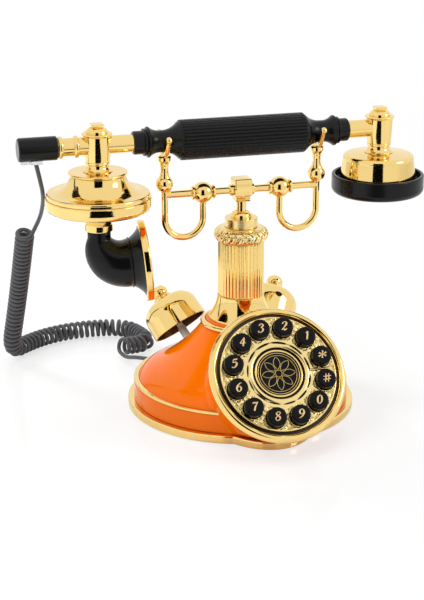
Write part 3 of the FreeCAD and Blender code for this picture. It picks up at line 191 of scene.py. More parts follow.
def bowed(start, middle, end, count=21):
    """Arc through three points: equal steps of angle about the circle's centre."""
    a, b, c = (complex(*p) for p in (start, middle, end))
    w = (c - a) / (b - a)
    centre = a + (b - a) * (w - abs(w) ** 2) / (2j * w.imag) if abs(w.imag) > 1e-9 else None
    if centre is None:
        steps = np.linspace(0, 1, count)
        return np.outer(1 - steps, start) + np.outer(steps, end)
    first = np.angle(a - centre)
    half = np.angle((b - centre) / (a - centre))
    rest = np.angle((c - centre) / (b - centre))
    points = centre + abs(a - centre) * np.exp(1j * (first + np.linspace(0, half + rest, count)))
    return np.stack([points.real, points.imag], 1)


def lathe_line(start, *steps, soft=0.35, closed=False):
    """Outline of a turned piece as points (radius, height).  A step is a point, or a middle and an end of an
    arc.  Each corner is rounded: the quadratic curve between two points near the corner that is drawn to the
    corner, with one more point before and after it to keep the flats flat."""
    runs, here = [], start
    for step in steps + ((start,) if closed else ()):
        arc = hasattr(step[0], "__len__")
        runs.append(bowed(here, *step) if arc else np.array([here, step], float))
        here = step[1] if arc else step
    shares = np.linspace(0, 1, 6)[:, None]
    pairs = list(zip(runs, runs[1:])) + ([(runs[-1], runs[0])] if closed else [])
    roundings = []
    for before, after in pairs:
        corner = before[-1]
        back, ahead = before[-2] - corner, after[1] - corner
        lengths = np.hypot(*back), np.hypot(*ahead)
        back, ahead = back / lengths[0], ahead / lengths[1]
        turn = math.pi - math.acos(np.clip(back @ ahead, -1, 1))
        reach = min(soft * math.tan(min(turn, 2.6) / 2), 0.4 * lengths[0], 0.4 * lengths[1])
        if turn < 0.06:
            roundings.append(corner[None])
            continue
        p, q = corner + back * reach, corner + ahead * reach
        curve = (1 - shares) ** 2 * p + 2 * shares * (1 - shares) * corner + shares ** 2 * q
        roundings.append(np.vstack([corner + back * reach * 1.25, curve, corner + ahead * reach * 1.25]))
    line = [] if closed else [runs[0][:1]]
    for i, run in enumerate(runs):
        line.append(run[1:-1])
        if i < len(roundings):
            line.append(roundings[i])
    return np.vstack(line if closed else line + [runs[-1][-1:]])


def standing(origin, axis=(0, 0, 1), side=(1, 0, 0)):
    """Place of a piece drawn about Z: its origin, and the three directions that its x, y and z take."""
    z = np.array(axis, float) / np.linalg.norm(axis)
    x = np.array(side, float) - z * np.dot(side, z)
    x /= np.linalg.norm(x)
    return np.array(origin, float), np.array([x, np.cross(z, x), z])


def skin_faces(rows, columns, wrap):
    """Faces of a grid of points whose columns close on themselves; wrap joins the last row to the first."""
    i = np.arange(rows if wrap else rows - 1)[:, None]
    j = np.arange(columns)[None, :]
    i2, j2 = (i + 1) % rows, (j + 1) % columns
    corners = [i * columns + j, i * columns + j2, i2 * columns + j2, i2 * columns + j]
    return np.stack(corners, -1).reshape(-1, 4)


def capped(grid, rows, columns, first, last):
    """Points and faces of rings along a path; fans of triangles close the first and the last ring to a
    point."""
    j = np.arange(columns)
    end, count = (rows - 1) * columns, rows * columns
    faces = skin_faces(rows, columns, False).tolist()
    faces += np.stack([(j + 1) % columns, j, np.full(columns, count)], 1).tolist()
    faces += np.stack([end + j, end + (j + 1) % columns, np.full(columns, count + 1)], 1).tolist()
    return np.vstack([grid, [first, last]]), faces


def piece(name, points, faces, finish, body, replaced=(), slot=None, depth=None):
    """Object from points in millimetres and faces, smooth, riding on a body and standing for CAD nodes.  The
    depth of chasing, from 0 to 1 at each point, goes with the mesh as the share of painted shade in its
    hollows."""
    made = new_object(name, np.asarray(points) * 0.001, faces)
    mesh = made.data
    if depth is not None:
        sunk_shade = mesh.attributes.new("depth", "FLOAT", "POINT")
        sunk_shade.data.foreach_set("value", np.ravel(depth).astype(np.float32))
    mesh.polygons.foreach_set("use_smooth", np.ones(len(mesh.polygons), bool))
    mesh.materials.append(finish)
    if body:
        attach(made, body)
    if replaced:
        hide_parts(*replaced)
    return made


def about_z(radii, heights, turn):
    """Points of rings about Z, (r cos a, r sin a, h), for rows of radii and heights and the angles of a
    turn."""
    rings = np.broadcast_arrays(radii * np.cos(turn), radii * np.sin(turn), heights)
    return np.stack(rings, -1).reshape(-1, 3)


def turned(name, line, place, finish, body, replaced=(), slot=None, around=128):
    """Turned piece: each point (r, h) of its outline goes round the axis, and the place moves it.  An outline
    that starts and ends on the axis closes in poles, any other closes on itself."""
    line = np.asarray(line, float)
    if np.sum(line[:, 0] * np.roll(line[:, 1], -1) - np.roll(line[:, 0], -1) * line[:, 1]) < 0:
        line = line[::-1]
    poles = line[0, 0] < 1e-6 and line[-1, 0] < 1e-6
    inner = line[1:-1] if poles else line
    angle = full_turn(around)
    grid = about_z(inner[:, :1], inner[:, 1:], angle)
    if poles:
        grid, faces = capped(grid, len(inner), around, (0, 0, line[0, 1]), (0, 0, line[-1, 1]))
    else:
        faces = skin_faces(len(inner), around, True).tolist()
    origin, ways = place
    return piece(name, origin + grid @ ways, faces, finish, body, replaced, slot)


gold_plate = finish_of("gold_plate", (0.91, 0.665, 0.25), 0.07, 0.025, 1400.0, 0.02, metal=1.0)


def gold(name, line, place, body, *replaced, around=128):
    """Turned piece of gold-plated brass."""
    return turned(name, line, place, gold_plate, body, replaced, "brass", around)


upright = standing((0, 0, 0))
rim_columns = 360
rim_radius, lobe_half_width, lobe_half_depth, lobe_middle = 75.0, 38.0, 61.19, -25.23
rim_line = lathe_line((9.0, 0.2), (0.0, 0.2), (0.0, 5.5), (9.0, 5.5), soft=1.1, closed=True)
angle = full_turn(rim_columns)
a = (np.cos(angle) / lobe_half_width) ** 2 + (np.sin(angle) / lobe_half_depth) ** 2
b = -lobe_middle * np.sin(angle) / lobe_half_depth ** 2
c = (lobe_middle / lobe_half_depth) ** 2 - 1
to_oval = (-b + np.sqrt(np.maximum(b * b - a * c, 0))) / a
# The rim's edge is the further of the round base and the oval of the dial housing's foot.
edge = np.maximum(rim_radius, to_oval)
reach = edge[None, :] - rim_line[:, :1]
piece("rim_ring", about_z(reach, rim_line[:, 1:], angle), skin_faces(len(rim_line), rim_columns, True),
      gold_plate, "base", ("base_rim",), "brass")


# Shell: one injection moulding in gloss orange, a low band with a flared dome above it and a round housing
# that runs into the dome with a soft fillet and carries the dial.  Four screws from below hold it.
orange_gloss = finish_of("orange_gloss", (0.80, 0.150, 0.0), 0.075, 0.02, 260.0, 0.01, gloss=0.2)
# The dome's foot is rounded over: an arc from the bead's top that runs smoothly into the flare.
foot, shoulder, shoulder_end = (67.6, 19.2), (63.4, 24.06), (58.0, 27.5)
dome_middle, dome_neck = (44.7, 35.8), (25.8, 55.5)
arc = np.vstack([bowed(foot, shoulder, shoulder_end, 60),
                 bowed(shoulder_end, dome_middle, dome_neck, 140)[1:]])
dome_radii, dome_heights = arc[:, 0], arc[:, 1]
band_radius, band_foot, band_top, ledge = 71.0, 5.5, 17.2, 67.4
shell_line = lathe_line((0.0, band_foot), (band_radius, band_foot), (band_radius, band_top),
                        (ledge, band_top), foot, (shoulder, shoulder_end), (dome_middle, dome_neck),
                        (23.2, 55.5), (23.2, 60.0), (12.0, 60.0), (12.0, 50.0), (0.0, 50.0), soft=0.8)
dome = turned("shell_dome", shell_line, upright, orange_gloss, "base", ("base_shell",), "orange_shell",
              around=240)

# Windows for the two modular jacks in the back of the band: boxes taken out of the moulding.
corner = np.array([(i, j, k) for i in (-1, 1) for j in (-1, 1) for k in (-1, 1)])
box_faces = [(0, 1, 3, 2), (4, 6, 7, 5), (0, 4, 5, 1), (2, 3, 7, 6), (0, 2, 6, 4), (1, 5, 7, 3)]
for degrees in (90.0, 125.0):
    c, s = math.cos(math.radians(degrees)), math.sin(math.radians(degrees))
    halves = np.array([(8.0 * c, 8.0 * s, 0.0), (-6.5 * s, 6.5 * c, 0.0), (0.0, 0.0, 5.1)])
    middle = np.array((66.0 * c, 66.0 * s, 11.1))
    window = new_object("window", (middle + corner @ halves) * 0.001, box_faces)
    cut = dome.modifiers.new("window", "BOOLEAN")
    cut.operation = "DIFFERENCE"
    cut.solver = "EXACT"
    cut.object = window
    bpy.context.view_layer.update()
    opened = bpy.data.meshes.new_from_object(dome.evaluated_get(bpy.context.evaluated_depsgraph_get()))
    opened.set_sharp_from_angle(angle=0.7)
    dome.modifiers.clear()
    dome.data = opened
    bpy.data.objects.remove(window)

dial_tilt = math.radians(38.39)
dial_axis = np.array([0.0, -math.cos(dial_tilt), math.sin(dial_tilt)])
dial_place = standing((0.0, -83.0, 51.28), dial_axis)


def dome_gap(points):
    """How far points lie outside the dome and band: distance from the axis less the dome's radius there."""
    level = np.interp(points[..., 2], np.r_[band_foot - 0.1, band_top, dome_heights],
                      np.r_[band_radius, ledge, dome_radii])
    return np.hypot(points[..., 0], points[..., 1]) - level


# Housing: for each angle about the dial's axis, a straight line from the bezel to the dome, found by halving,
# then a quadratic curve that leaves the line before the dome and meets the dome beyond it.
boss_columns = 200
around = full_turn(boss_columns)
origin, ways = dial_place
circle = np.outer(np.cos(around), ways[0]) + np.outer(np.sin(around), ways[1])
boss_radius, boss_bore, boss_front = 36.0, 33.4, 9.5
ring = origin + boss_radius * circle
near, far = np.full(boss_columns, boss_front), np.full(boss_columns, 75.0)
for _ in range(40):
    middle = (near + far) / 2
    outside = dome_gap(ring - middle[:, None] * ways[2]) > 0
    near, far = np.where(outside, middle, near), np.where(outside, far, middle)
meet = ring - near[:, None] * ways[2]
floor_cut = (band_foot - ring[:, 2]) / -ways[2][2]
meet = np.where((near < floor_cut)[:, None], meet, ring - np.minimum(near, floor_cut)[:, None] * ways[2])
front = ring - boss_front * ways[2]
blend_reach = np.minimum(4.5, 0.45 * np.linalg.norm(meet - front, axis=1))[:, None]
start = meet + blend_reach * ways[2]
away = unit(np.cross(np.roll(meet, -1, 0) - np.roll(meet, 1, 0), ways[2]))
away = np.where((np.sum(away * (meet - origin + ways[2] * 50), 1) < 0)[:, None], -away, away)
far_side = meet + away * blend_reach
for _ in range(30):
    out = dome_gap(far_side)[:, None]
    radial = far_side * [1, 1, 0] / np.linalg.norm(far_side[:, :2], axis=1)[:, None]
    far_side = far_side - 0.5 * out * radial
far_side[:, 2] = np.maximum(far_side[:, 2], band_foot)
share = np.linspace(0, 1, 14)[:, None, None]
fillet = (1 - share) ** 2 * start + 2 * share * (1 - share) * meet + share ** 2 * far_side
straight = front + np.linspace(0, 1, 6)[:-1, None, None] * (start - front)
bore = origin + boss_bore * circle
depth = np.linalg.norm(meet - ring, axis=1)[:, None]
housing = np.concatenate([(bore - boss_front * ways[2])[None], straight, fillet,
                          (bore - depth * ways[2])[None]])
piece("shell_housing", housing.reshape(-1, 3), skin_faces(len(housing), boss_columns, True)[:, ::-1],
      orange_gloss, "base", slot="orange_shell")


# Bead lines: half-round gold-plated wire rings, one laid into the shoulder between band and dome and one
# round the dome's neck.
for name, inner, outer, low, high in (("bead_line", 67.8, 71.0, 17.2, 19.2),
                                      ("neck_bead", 23.6, 26.6, 55.5, 59.2)):
    crown = (high - low) / 2
    bead = lathe_line((inner, low), (outer - crown, low), ((outer, low + crown), (outer - crown, high)),
                      (inner, high), soft=0.2, closed=True)
    gold(name, bead, upright, "base", "base_bead", around=240)


# Column: turned and gold-plated brass in four pieces on a tie: a flared foot with a lip, the fluted shaft,
# the leaf collar and the satin guide ring with the small dome that the cradle's stem slides in.
foot_line = lathe_line((12.0, 60.0), (21.3, 60.0), (21.3, 61.4), (20.7, 61.4), ((17.2, 67.8), (15.4, 75.9)),
                       (3.0, 75.9), (3.0, 71.9), (12.0, 71.9), soft=0.3, closed=True)
gold("column_foot_turning", foot_line, upright, "base", "column_foot", around=160)

# Shaft: its radius less the flutes; a flute is its depth times 1 - x squared, with x from -1 to 1 across it.
flutes, flute_depth, flute_share, shaft_size, shaft_core = 40, 0.75, 0.8, 15.0, 9.0
turn = full_turn(flutes * 14)
in_pitch = (turn * flutes / (2 * math.pi) + 0.5) % 1.0 - 0.5
in_flute = np.clip(np.abs(in_pitch) * 2 / flute_share, 0, 1)
shaft_radius = shaft_size - flute_depth * (1 - in_flute ** 2)
levels = np.array([75.9, 76.0, 76.3, 77.0, 85.0, 94.0, 103.0, 111.4, 112.1, 112.4, 112.5])
fade = np.array([-0.3, -0.05, 0.0, 0.0, 0.0, 0.0, 0.0, 0.0, 0.0, -0.05, -0.3])
rows = shaft_radius[None, :] + fade[:, None]
rows = np.vstack([np.full(len(turn), shaft_core), rows, np.full(len(turn), shaft_core)])
heights = np.r_[75.9, levels, 112.5]
piece("column_shaft", about_z(rows, heights[:, None], turn), skin_faces(len(rows), len(turn), True),
      gold_plate, "base", ("column",), "brass")

# Collar: a round bead carved into a laurel braid: leaves in two rows that meet in a point half way up.
# Across a leaf the lift is a half circle with a cut midrib; between leaves it falls to the ground.
# Chased gold with painted shade: its colour goes darker in the hollows of the chasing, by their depth.
hollow_shaded_gold = finish_of("chased_gold_hollow_shade", (0.90, 0.70, 0.31), 0.17, 0.05, 900.0, 0.05, metal=1.0,
                     hollow_shade=(0.34, 0.21, 0.05))
collar_rows, collar_columns, leaves = 81, 960, 20
body_line = bowed((15.2, 112.5), (17.5, 117.0), (12.6, 121.2), collar_rows)
rows_up = np.linspace(0, 1, collar_rows)[:, None]
turn = full_turn(collar_columns)[None, :]
from_middle = 2 * rows_up - 1
leaf = turn * leaves / (2 * math.pi) + 0.62 * np.abs(from_middle) + 0.5 * (from_middle > 0)
across = 2 * (leaf % 1.0) - 1
swell = np.sqrt(np.clip(1 - across ** 2, 0, 1)) - 0.32 * np.exp(-(across / 0.13) ** 2)
swell = swell * (1 - 0.35 * np.exp(-(from_middle / 0.08) ** 2))
ends = np.clip(6 * np.minimum(rows_up, 1 - rows_up), 0, 1)
collar_radius = body_line[:, :1] + (0.95 * swell - 0.55) * ends
# Painted shade: between the leaves and along each midrib the colour goes darker, by how far the lift falls
# there.
sunk_shade = np.clip(1.15 - 1.5 * swell, 0, 1) * ends
flat = np.ones((1, collar_columns))
collar_radius = np.vstack([8.6 * flat, collar_radius, 12.2 * flat, 11.8 * flat, 8.6 * flat])
sunk_shade = np.vstack([0 * flat, sunk_shade, 0 * flat, 0 * flat, 0 * flat])
collar_height = np.r_[112.5, body_line[:, 1], 121.4, 121.6, 121.6][:, None]
piece("column_collar_leaves", about_z(collar_radius, collar_height, turn),
      skin_faces(len(collar_radius), collar_columns, True), hollow_shaded_gold, "base", ("column_collar",), "brass",
      sunk_shade)

satin_gold = finish_of("satin_gold", (0.90, 0.69, 0.31), 0.27, 0.05, 1100.0, 0.05, metal=1.0)
ring_line = lathe_line((6.0, 121.6), (10.7, 121.6), (10.7, 127.8), (6.0, 127.8), soft=0.45, closed=True)
turned("guide_ring", ring_line, upright, satin_gold, "base", ("stem_guide",), "brass")
guide_line = lathe_line((3.24, 127.4), (6.9, 127.4), (6.9, 128.2), ((5.9, 130.9), (4.16, 132.0)),
                        (3.24, 132.0), soft=0.3, closed=True)
gold("guide_dome", guide_line, upright, "base", "stem_guide")


# Bells: two thin spun and gold-plated cups behind the column, bronze inside, each on a pale plated post with
# a threaded end and held by a turned nut.  They lean outwards and back.
bright_steel = finish_of("bright_steel", (0.72, 0.73, 0.72), 0.16, 0.05, 900.0, 0.05, metal=1.0)
bell_line = lathe_line((19.0, -0.1), (19.7, 0.0), (19.2, 10.5), ((16.51, 18.0), (6.4, 22.0)), (1.55, 22.0),
                       (1.55, 21.4), (6.4, 21.4), ((16.0, 17.5), (18.6, 10.5)), soft=0.4, closed=True)
lining_line = lathe_line((18.3, 0.0), (19.0, 0.0), (18.58, 10.5), ((15.95, 17.5), (6.4, 21.38)), (1.6, 21.38),
                         (1.6, 20.6), (6.4, 20.6), ((15.41, 16.9), (17.8, 10.5)), soft=0.3, closed=True)
bronze_lining = finish_of("bronze_lining", (0.16, 0.075, 0.022), 0.30, 0.06, 500.0, 0.06, metal=0.7)
nut_line = lathe_line((0.0, 22.0), (6.4, 22.0), (6.4, 23.6), (4.8, 24.3), ((5.7, 27.8), (3.4, 31.2)),
                      (0.0, 32.0), soft=0.4)
post_nickel = finish_of("post_nickel", (0.84, 0.88, 0.76), 0.40, 0.06, 900.0, 0.05)
thread = np.linspace(0, 1, 121)
post_line = np.vstack([[[0, -24], [2.85, -24], [2.85, -1.0], [2.6, -0.8]],
                       np.stack([2.1 + 0.22 * np.cos(thread * 2 * math.pi * 18), -0.6 + thread * 21.0], 1),
                       [[2.0, 20.5], [0, 20.5]]])
for side, name in ((1, "right"), (-1, "left")):
    place = standing((30.4 * side, 39.5, 42.4), (0.40414 * side, 0.52511, 0.74896))
    gold("bell_" + name, bell_line, place, "base", "bells", around=160)
    turned("bell_lining_" + name, lining_line, place, bronze_lining, "base", ("bells",), "brass", around=160)
    gold("bell_nut_" + name, nut_line, place, "base", "bell_nuts", around=64)
    turned("bell_post_" + name, post_line, place, post_nickel, "base", ("bell_posts",), "steel", around=48)


# Dial: a gold bezel with a dark groove, a chased gold plate with a raised centre ring and a stop ridge, and a
# black centre disc with fine gold rings.  All are pressed on the housing from the front.
bezel_line = lathe_line((34.4, -9.5), (42.6, -9.5), ((43.9, -7.3), (43.2, -5.2)),
                        ((41.5, -3.7), (39.3, -4.8)), (39.0, -8.2), (34.4, -8.2), soft=0.3, closed=True)
gold("dial_bezel_ring", bezel_line, dial_place, "base", "dial_bezel", around=240)
groove_black = finish_of("groove_black", (0.020, 0.009, 0.004), 0.25, 0.06, 700.0, 0.04)
groove_line = lathe_line((36.9, -8.1), (39.1, -8.1), (39.1, -7.8), (36.9, -7.8), soft=0.1, closed=True)
turned("dial_groove", groove_line, dial_place, groove_black, "base", around=160, slot="black_parts")

# Plate: height over the dial's plane, flat with a well for each key, less engraved scrolls between the keys.
# A scroll is a spiral whose radius falls with its angle; the cut is a bell curve of the distance to it.
key_circle, key_hole, plate_columns, key_count = 29.48, 6.45, 900, 12
radii = np.r_[16.7, 16.9, 17.3, 17.8, 18.3, 18.9, 19.5, 20.0, 20.3, 20.5, np.linspace(20.7, 36.7, 96),
              37.0, 37.2]
crown = np.interp(radii, [16.7, 17.3, 18.3, 19.5, 20.5, 36.7, 37.2],
                  [-3.1, -2.6, -2.3, -2.75, -3.6, -3.6, -4.1])
turn = full_turn(plate_columns)
local = turn % (math.pi / 6) - math.pi / 12
u, v = np.outer(radii, np.sin(local)), np.outer(radii, np.cos(local)) - key_circle
to_key = np.hypot(u, v)
between = (turn[:plate_columns // key_count] + math.pi / 12) % (math.pi / 6) - math.pi / 12
u, v = np.abs(np.outer(radii, np.sin(between))), np.outer(radii, np.cos(between)) - key_circle
spin = np.linspace(0, 3.6 * math.pi, 60)
scrolls = [np.stack([cx + s * r * np.exp(-0.13 * spin) * np.cos(spin + p),
                     cy + r * np.exp(-0.13 * spin) * np.sin(spin + p)], 1)
           for cx, cy, r, s, p in ((3.1, 4.9, 1.9, 1, 2.2), (1.75, 2.4, 1.15, -1, 0.6),
                                   (2.0, -5.4, 1.5, 1, -1.6), (0.9, -2.6, 0.8, -1, 1.0),
                                   (5.6, 5.6, 0.9, -1, 2.8), (0.5, 5.9, 0.8, 1, 0.4),
                                   (0.7, 0.2, 0.65, 1, 1.2), (3.9, -6.6, 0.7, -1, 2.0))]
marks = np.vstack(scrolls)
to_mark = np.sqrt(np.min((u[..., None] - marks[:, 0]) ** 2 + (v[..., None] - marks[:, 1]) ** 2, -1))
to_mark = np.tile(to_mark, key_count)
engraved = -0.20 * np.exp(-(to_mark / 0.28) ** 2) * (radii > 21.2)[:, None] * (radii < 36.5)[:, None]
engraved *= (to_key > key_hole + 0.3)
ridge = 0.5 * np.clip(1.6 - np.abs(np.outer(radii, (turn + math.pi) % (2 * math.pi) - math.pi)) / 0.45, 0, 1)
ridge = ridge * ((radii > 20.3) & (radii < 36.3))[:, None]
plate_height = crown[:, None] + np.where(ridge > 0, ridge, engraved)
plate_height = np.where(to_key < key_hole, -7.95, plate_height)
level = np.ones((1, plate_columns))
skirt = np.vstack([-8.0 * level, -4.9 * level, plate_height, -8.0 * level])
plate_radii = np.r_[16.7, 16.7, radii, 37.2][:, None]
origin, ways = dial_place
# The last argument darkens the engraved scrolls by their depth: painted shade in the cuts.
piece("dial_plate_chased", origin + about_z(plate_radii, skirt, turn) @ ways,
      skin_faces(len(skirt), plate_columns, True)[:, ::-1], hollow_shaded_gold, "base", ("dial_plate",), "brass",
      np.vstack([0 * skirt[:2], np.clip(-engraved / 0.28, 0, 1), 0 * skirt[:1]]))

black_gloss = finish_of("black_gloss", (0.003, 0.003, 0.0035), 0.11, 0.04, 520.0, 0.03, gloss=0.13)
centre_line = lathe_line((0.0, -6.5), (17.7, -6.5), (17.7, -5.1), (16.65, -5.1), (16.65, -4.7), (13.9, -4.7),
                         (13.9, -4.6), (13.5, -4.2), (0.0, -4.2), soft=0.1)
turned("dial_centre_disc", centre_line, dial_place, black_gloss, "base", ("dial_centre",), "black_plastic")
for name, inner, outer, low, high in (("dial_inner_ring", 14.2, 15.3, -5.0, -3.7),
                                      ("dial_fine_ring", 13.05, 13.4, -4.4, -4.12)):
    line = lathe_line((inner, low), (outer, low), (outer, high), (inner, high), soft=0.3, closed=True)
    gold(name, line, dial_place, "base")

# Rosette on the disc: eight plain petals and a centre ring in fine gold line, each petal a pair of arcs.
petal = np.linspace(0, 1, 25)
rosette = []
for k in range(8):
    c, s = math.cos(k * math.pi / 4), math.sin(k * math.pi / 4)
    for bend in (-1, 1):
        along, side = 2.6 + 8.2 * petal, bend * 2.1 * np.sin(math.pi * petal) ** 0.8
        rosette.append(np.stack([along * c - side * s, along * s + side * c], 1))
ring_turn = np.linspace(0, 2 * math.pi, 49)
rosette.append(np.stack([2.2 * np.cos(ring_turn), 2.2 * np.sin(ring_turn)], 1))
rosette.append(np.stack([11.7 * np.cos(ring_turn), 11.7 * np.sin(ring_turn)], 1))


def ribbon(line, width, height, thick=0.14):
    """Flat bar along a line in a plane: the line plus and minus half its width along its normal, its top at a
    height over the plane and its foot below it; the four edges go round each point, a face closes each
    end."""
    line = np.asarray(line, float)
    way = np.gradient(line, axis=0)
    way /= np.maximum(np.linalg.norm(way, axis=1), 1e-9)[:, None]
    normal = np.stack([-way[:, 1], way[:, 0]], 1) * (np.asarray(width) / 2)[..., None]
    left, right = (np.column_stack([edge, height(edge)]) for edge in (line + normal, line - normal))
    drop = np.array([0, 0, thick])
    bar = np.stack([left, right, right - drop, left - drop], 1).reshape(-1, 3)
    last = 4 * (len(line) - 1)
    ends = [[3, 2, 1, 0], [last, last + 1, last + 2, last + 3]]
    return bar, np.vstack([skin_faces(len(line), 4, False), ends])


def ribbons(strips):
    """Several strips as one list of points and faces."""
    points, faces, count = [], [], 0
    for p, f in strips:
        points.append(p)
        faces.append(f + count)
        count += len(p)
    return np.vstack(points), np.vstack(faces)


gilt_line = finish_of("gilt_line", (0.62, 0.44, 0.15), 0.36, 0.05, 900.0, 0.03, metal=0.6)
points, faces = ribbons([ribbon(line, np.full(len(line), 0.34), lambda edge: np.full(len(edge), -4.14))
                         for line in rosette])
piece("dial_rosette", origin + points @ ways, faces, gilt_line, "base", slot="brass")


# Keys: twelve black moulded buttons with domed tops and gilt old-style numerals.  Each slides in its hole in
# the plate and is lifted by the rubber mat below.
key_line = lathe_line((0.0, -6.4), (6.1, -6.4), (6.1, 0.5), ((5.87, 1.18), (5.2, 1.56)),
                      ((2.6, 1.89), (0.0, 2.0)), soft=0.15)
dome_radius = (0.44 ** 2 + 5.2 ** 2) / (2 * 0.44)
nine = [(-x, -y, w) for x, y, w in ((0.2, 0.47, 0.05), (0.0, 0.36, 0.08), (-0.18, 0.08, 0.13),
                                    (-0.2, -0.2, 0.14), (-0.08, -0.45, 0.08), (0.06, -0.48, 0.06),
                                    (0.2, -0.3, 0.12), (0.18, -0.08, 0.12), (0.04, 0.06, 0.06),
                                    (-0.14, -0.04, 0.04))]
# Each numeral is one to four pen strokes; a stroke's points are across, up and pen width, in shares of its
# height.
strokes = {
    "1": [[(-0.14, 0.28, 0.03), (-0.02, 0.37, 0.07), (0.05, 0.46, 0.09)],
          [(0.07, 0.48, 0.12), (0.06, 0.15, 0.14), (0.05, -0.2, 0.14), (0.04, -0.48, 0.12)]],
    "2": [[(-0.2, 0.24, 0.11), (-0.12, 0.43, 0.06), (0.05, 0.48, 0.07), (0.2, 0.34, 0.13), (0.16, 0.12, 0.14),
           (-0.02, -0.16, 0.08), (-0.24, -0.42, 0.05)],
          [(-0.24, -0.42, 0.05), (-0.08, -0.36, 0.12), (0.08, -0.44, 0.14), (0.2, -0.43, 0.08),
           (0.27, -0.3, 0.04)]],
    "3": [[(-0.2, 0.3, 0.1), (-0.1, 0.45, 0.06), (0.06, 0.48, 0.07), (0.18, 0.35, 0.13), (0.14, 0.16, 0.1),
           (-0.03, 0.06, 0.05)],
          [(-0.03, 0.06, 0.05), (0.14, -0.02, 0.08), (0.22, -0.2, 0.14), (0.12, -0.42, 0.09),
           (-0.06, -0.49, 0.06), (-0.2, -0.42, 0.08), (-0.2, -0.3, 0.12)]],
    "4": [[(0.1, 0.47, 0.05), (-0.06, 0.16, 0.06), (-0.26, -0.14, 0.06)],
          [(-0.27, -0.15, 0.06), (0.0, -0.16, 0.09), (0.28, -0.14, 0.06)],
          [(0.12, 0.48, 0.05), (0.1, 0.1, 0.13), (0.08, -0.3, 0.13), (0.06, -0.5, 0.12)]],
    "5": [[(-0.12, 0.45, 0.06), (0.06, 0.42, 0.13), (0.25, 0.48, 0.05)],
          [(-0.12, 0.46, 0.05), (-0.16, 0.26, 0.06), (-0.18, 0.07, 0.05)],
          [(-0.18, 0.06, 0.05), (-0.02, 0.13, 0.07), (0.18, 0.02, 0.13), (0.18, -0.22, 0.14),
           (0.04, -0.44, 0.08), (-0.14, -0.47, 0.07), (-0.22, -0.36, 0.11)]],
    "6": [[(-x, -y, w) for x, y, w in nine]],
    "7": [[(-0.22, 0.3, 0.05), (-0.2, 0.44, 0.08), (-0.05, 0.4, 0.13), (0.1, 0.4, 0.11), (0.26, 0.47, 0.05)],
          [(0.26, 0.47, 0.05), (0.12, 0.16, 0.08), (0.02, -0.1, 0.13), (-0.02, -0.48, 0.14)]],
    "8": [[(0.0, 0.04, 0.12), (-0.16, 0.22, 0.11), (-0.1, 0.43, 0.06), (0.04, 0.48, 0.05), (0.18, 0.36, 0.08),
           (0.12, 0.16, 0.06), (-0.04, 0.02, 0.06), (-0.2, -0.2, 0.07), (-0.12, -0.43, 0.06),
           (0.02, -0.49, 0.05), (0.2, -0.34, 0.09), (0.18, -0.14, 0.14), (0.0, 0.04, 0.12)]],
    "9": [nine],
    "0": [[(0.0, 0.48, 0.05), (-0.19, 0.25, 0.12), (-0.21, -0.05, 0.14), (-0.15, -0.33, 0.11),
           (0.0, -0.48, 0.05), (0.17, -0.28, 0.11), (0.21, 0.05, 0.14), (0.15, 0.33, 0.11),
           (0.0, 0.48, 0.05)]],
    "star": [[(0.42 * math.cos(t) * d, 0.42 * math.sin(t) * d, 0.04 + 0.1 * abs(d))
              for d in (-1, -0.6, 0, 0.6, 1)] for t in (math.pi / 2, math.pi / 6, 5 * math.pi / 6)],
    "hash": [[(-0.15 + d, 0.48, 0.06), (-0.14 + d, 0.0, 0.1), (-0.16 + d, -0.48, 0.06)] for d in (0.0, 0.28)]
            + [[(-0.38, d - 0.01, 0.05), (0.0, d, 0.09), (0.36, d + 0.02, 0.05)] for d in (0.18, -0.17)],
}


def pen_line(points, count=14):
    """Smooth line through pen points: between two points the cubic that passes both with the neighbours'
    slope."""
    p = np.asarray(points, float)
    slope = np.gradient(p, axis=0)
    t = np.linspace(0, 1, count, endpoint=False)[None, :, None]
    a, b, da, db = p[:-1, None], p[1:, None], slope[:-1, None], slope[1:, None]
    line = ((2 * t ** 3 - 3 * t ** 2 + 1) * a + (t ** 3 - 2 * t ** 2 + t) * da + (3 * t ** 2 - 2 * t ** 3) * b
            + (t ** 3 - t ** 2) * db)
    return np.vstack([line.reshape(-1, 3), p[-1:]])


def on_dome(edge):
    """Height of the key's domed top at points across it, raised by the print's thickness."""
    return np.sqrt(dome_radius ** 2 - np.sum(edge ** 2, 1)) - dome_radius + 2.05


numeral_height, slant, squat, pen = 6.7, 0.2, 0.84, 1.22
numeral_paint = finish_of("numeral_paint", (0.78, 0.52, 0.24), 0.42, 0.05, 900.0, 0.03, metal=0.25)
for index, name in enumerate(("star", "1", "2", "3", "4", "5", "6", "7", "8", "9", "0", "hash")):
    at = math.radians(15 + 30 * index)
    centre = origin + key_circle * (math.cos(at) * ways[0] + math.sin(at) * ways[1])
    place = (centre, ways)
    body = "key_" + name + "_body"
    turned("button_" + name, key_line, place, black_gloss, body, ("key_" + name,), "black_plastic", around=64)
    strips = []
    for stroke in strokes[name]:
        line = pen_line(stroke) * numeral_height
        slanted = np.stack([line[:, 0] + slant * line[:, 1], squat * line[:, 1]], 1)
        strips.append(ribbon(slanted, pen * line[:, 2], on_dome))
    points, faces = ribbons(strips)
    piece("numeral_" + name, centre + points @ ways, faces, numeral_paint, body, slot="brass")


# Cradle: gold-plated brass.  The stem slides in the column; the square block on it carries the cross bar with
# its two balls, the bent hooks are screwed in from below, and a fork is soldered into each hook's cup.
stem_line = lathe_line((0.0, 27.0), (2.0, 27.0), (2.0, 115.6), (7.6, 115.6), (7.6, 117.6), (3.16, 117.6),
                       (3.16, 139.2), (0.0, 139.2), soft=0.2)
gold("cradle_stem_turning", stem_line, upright, "cradle", "cradle_stem", around=64)


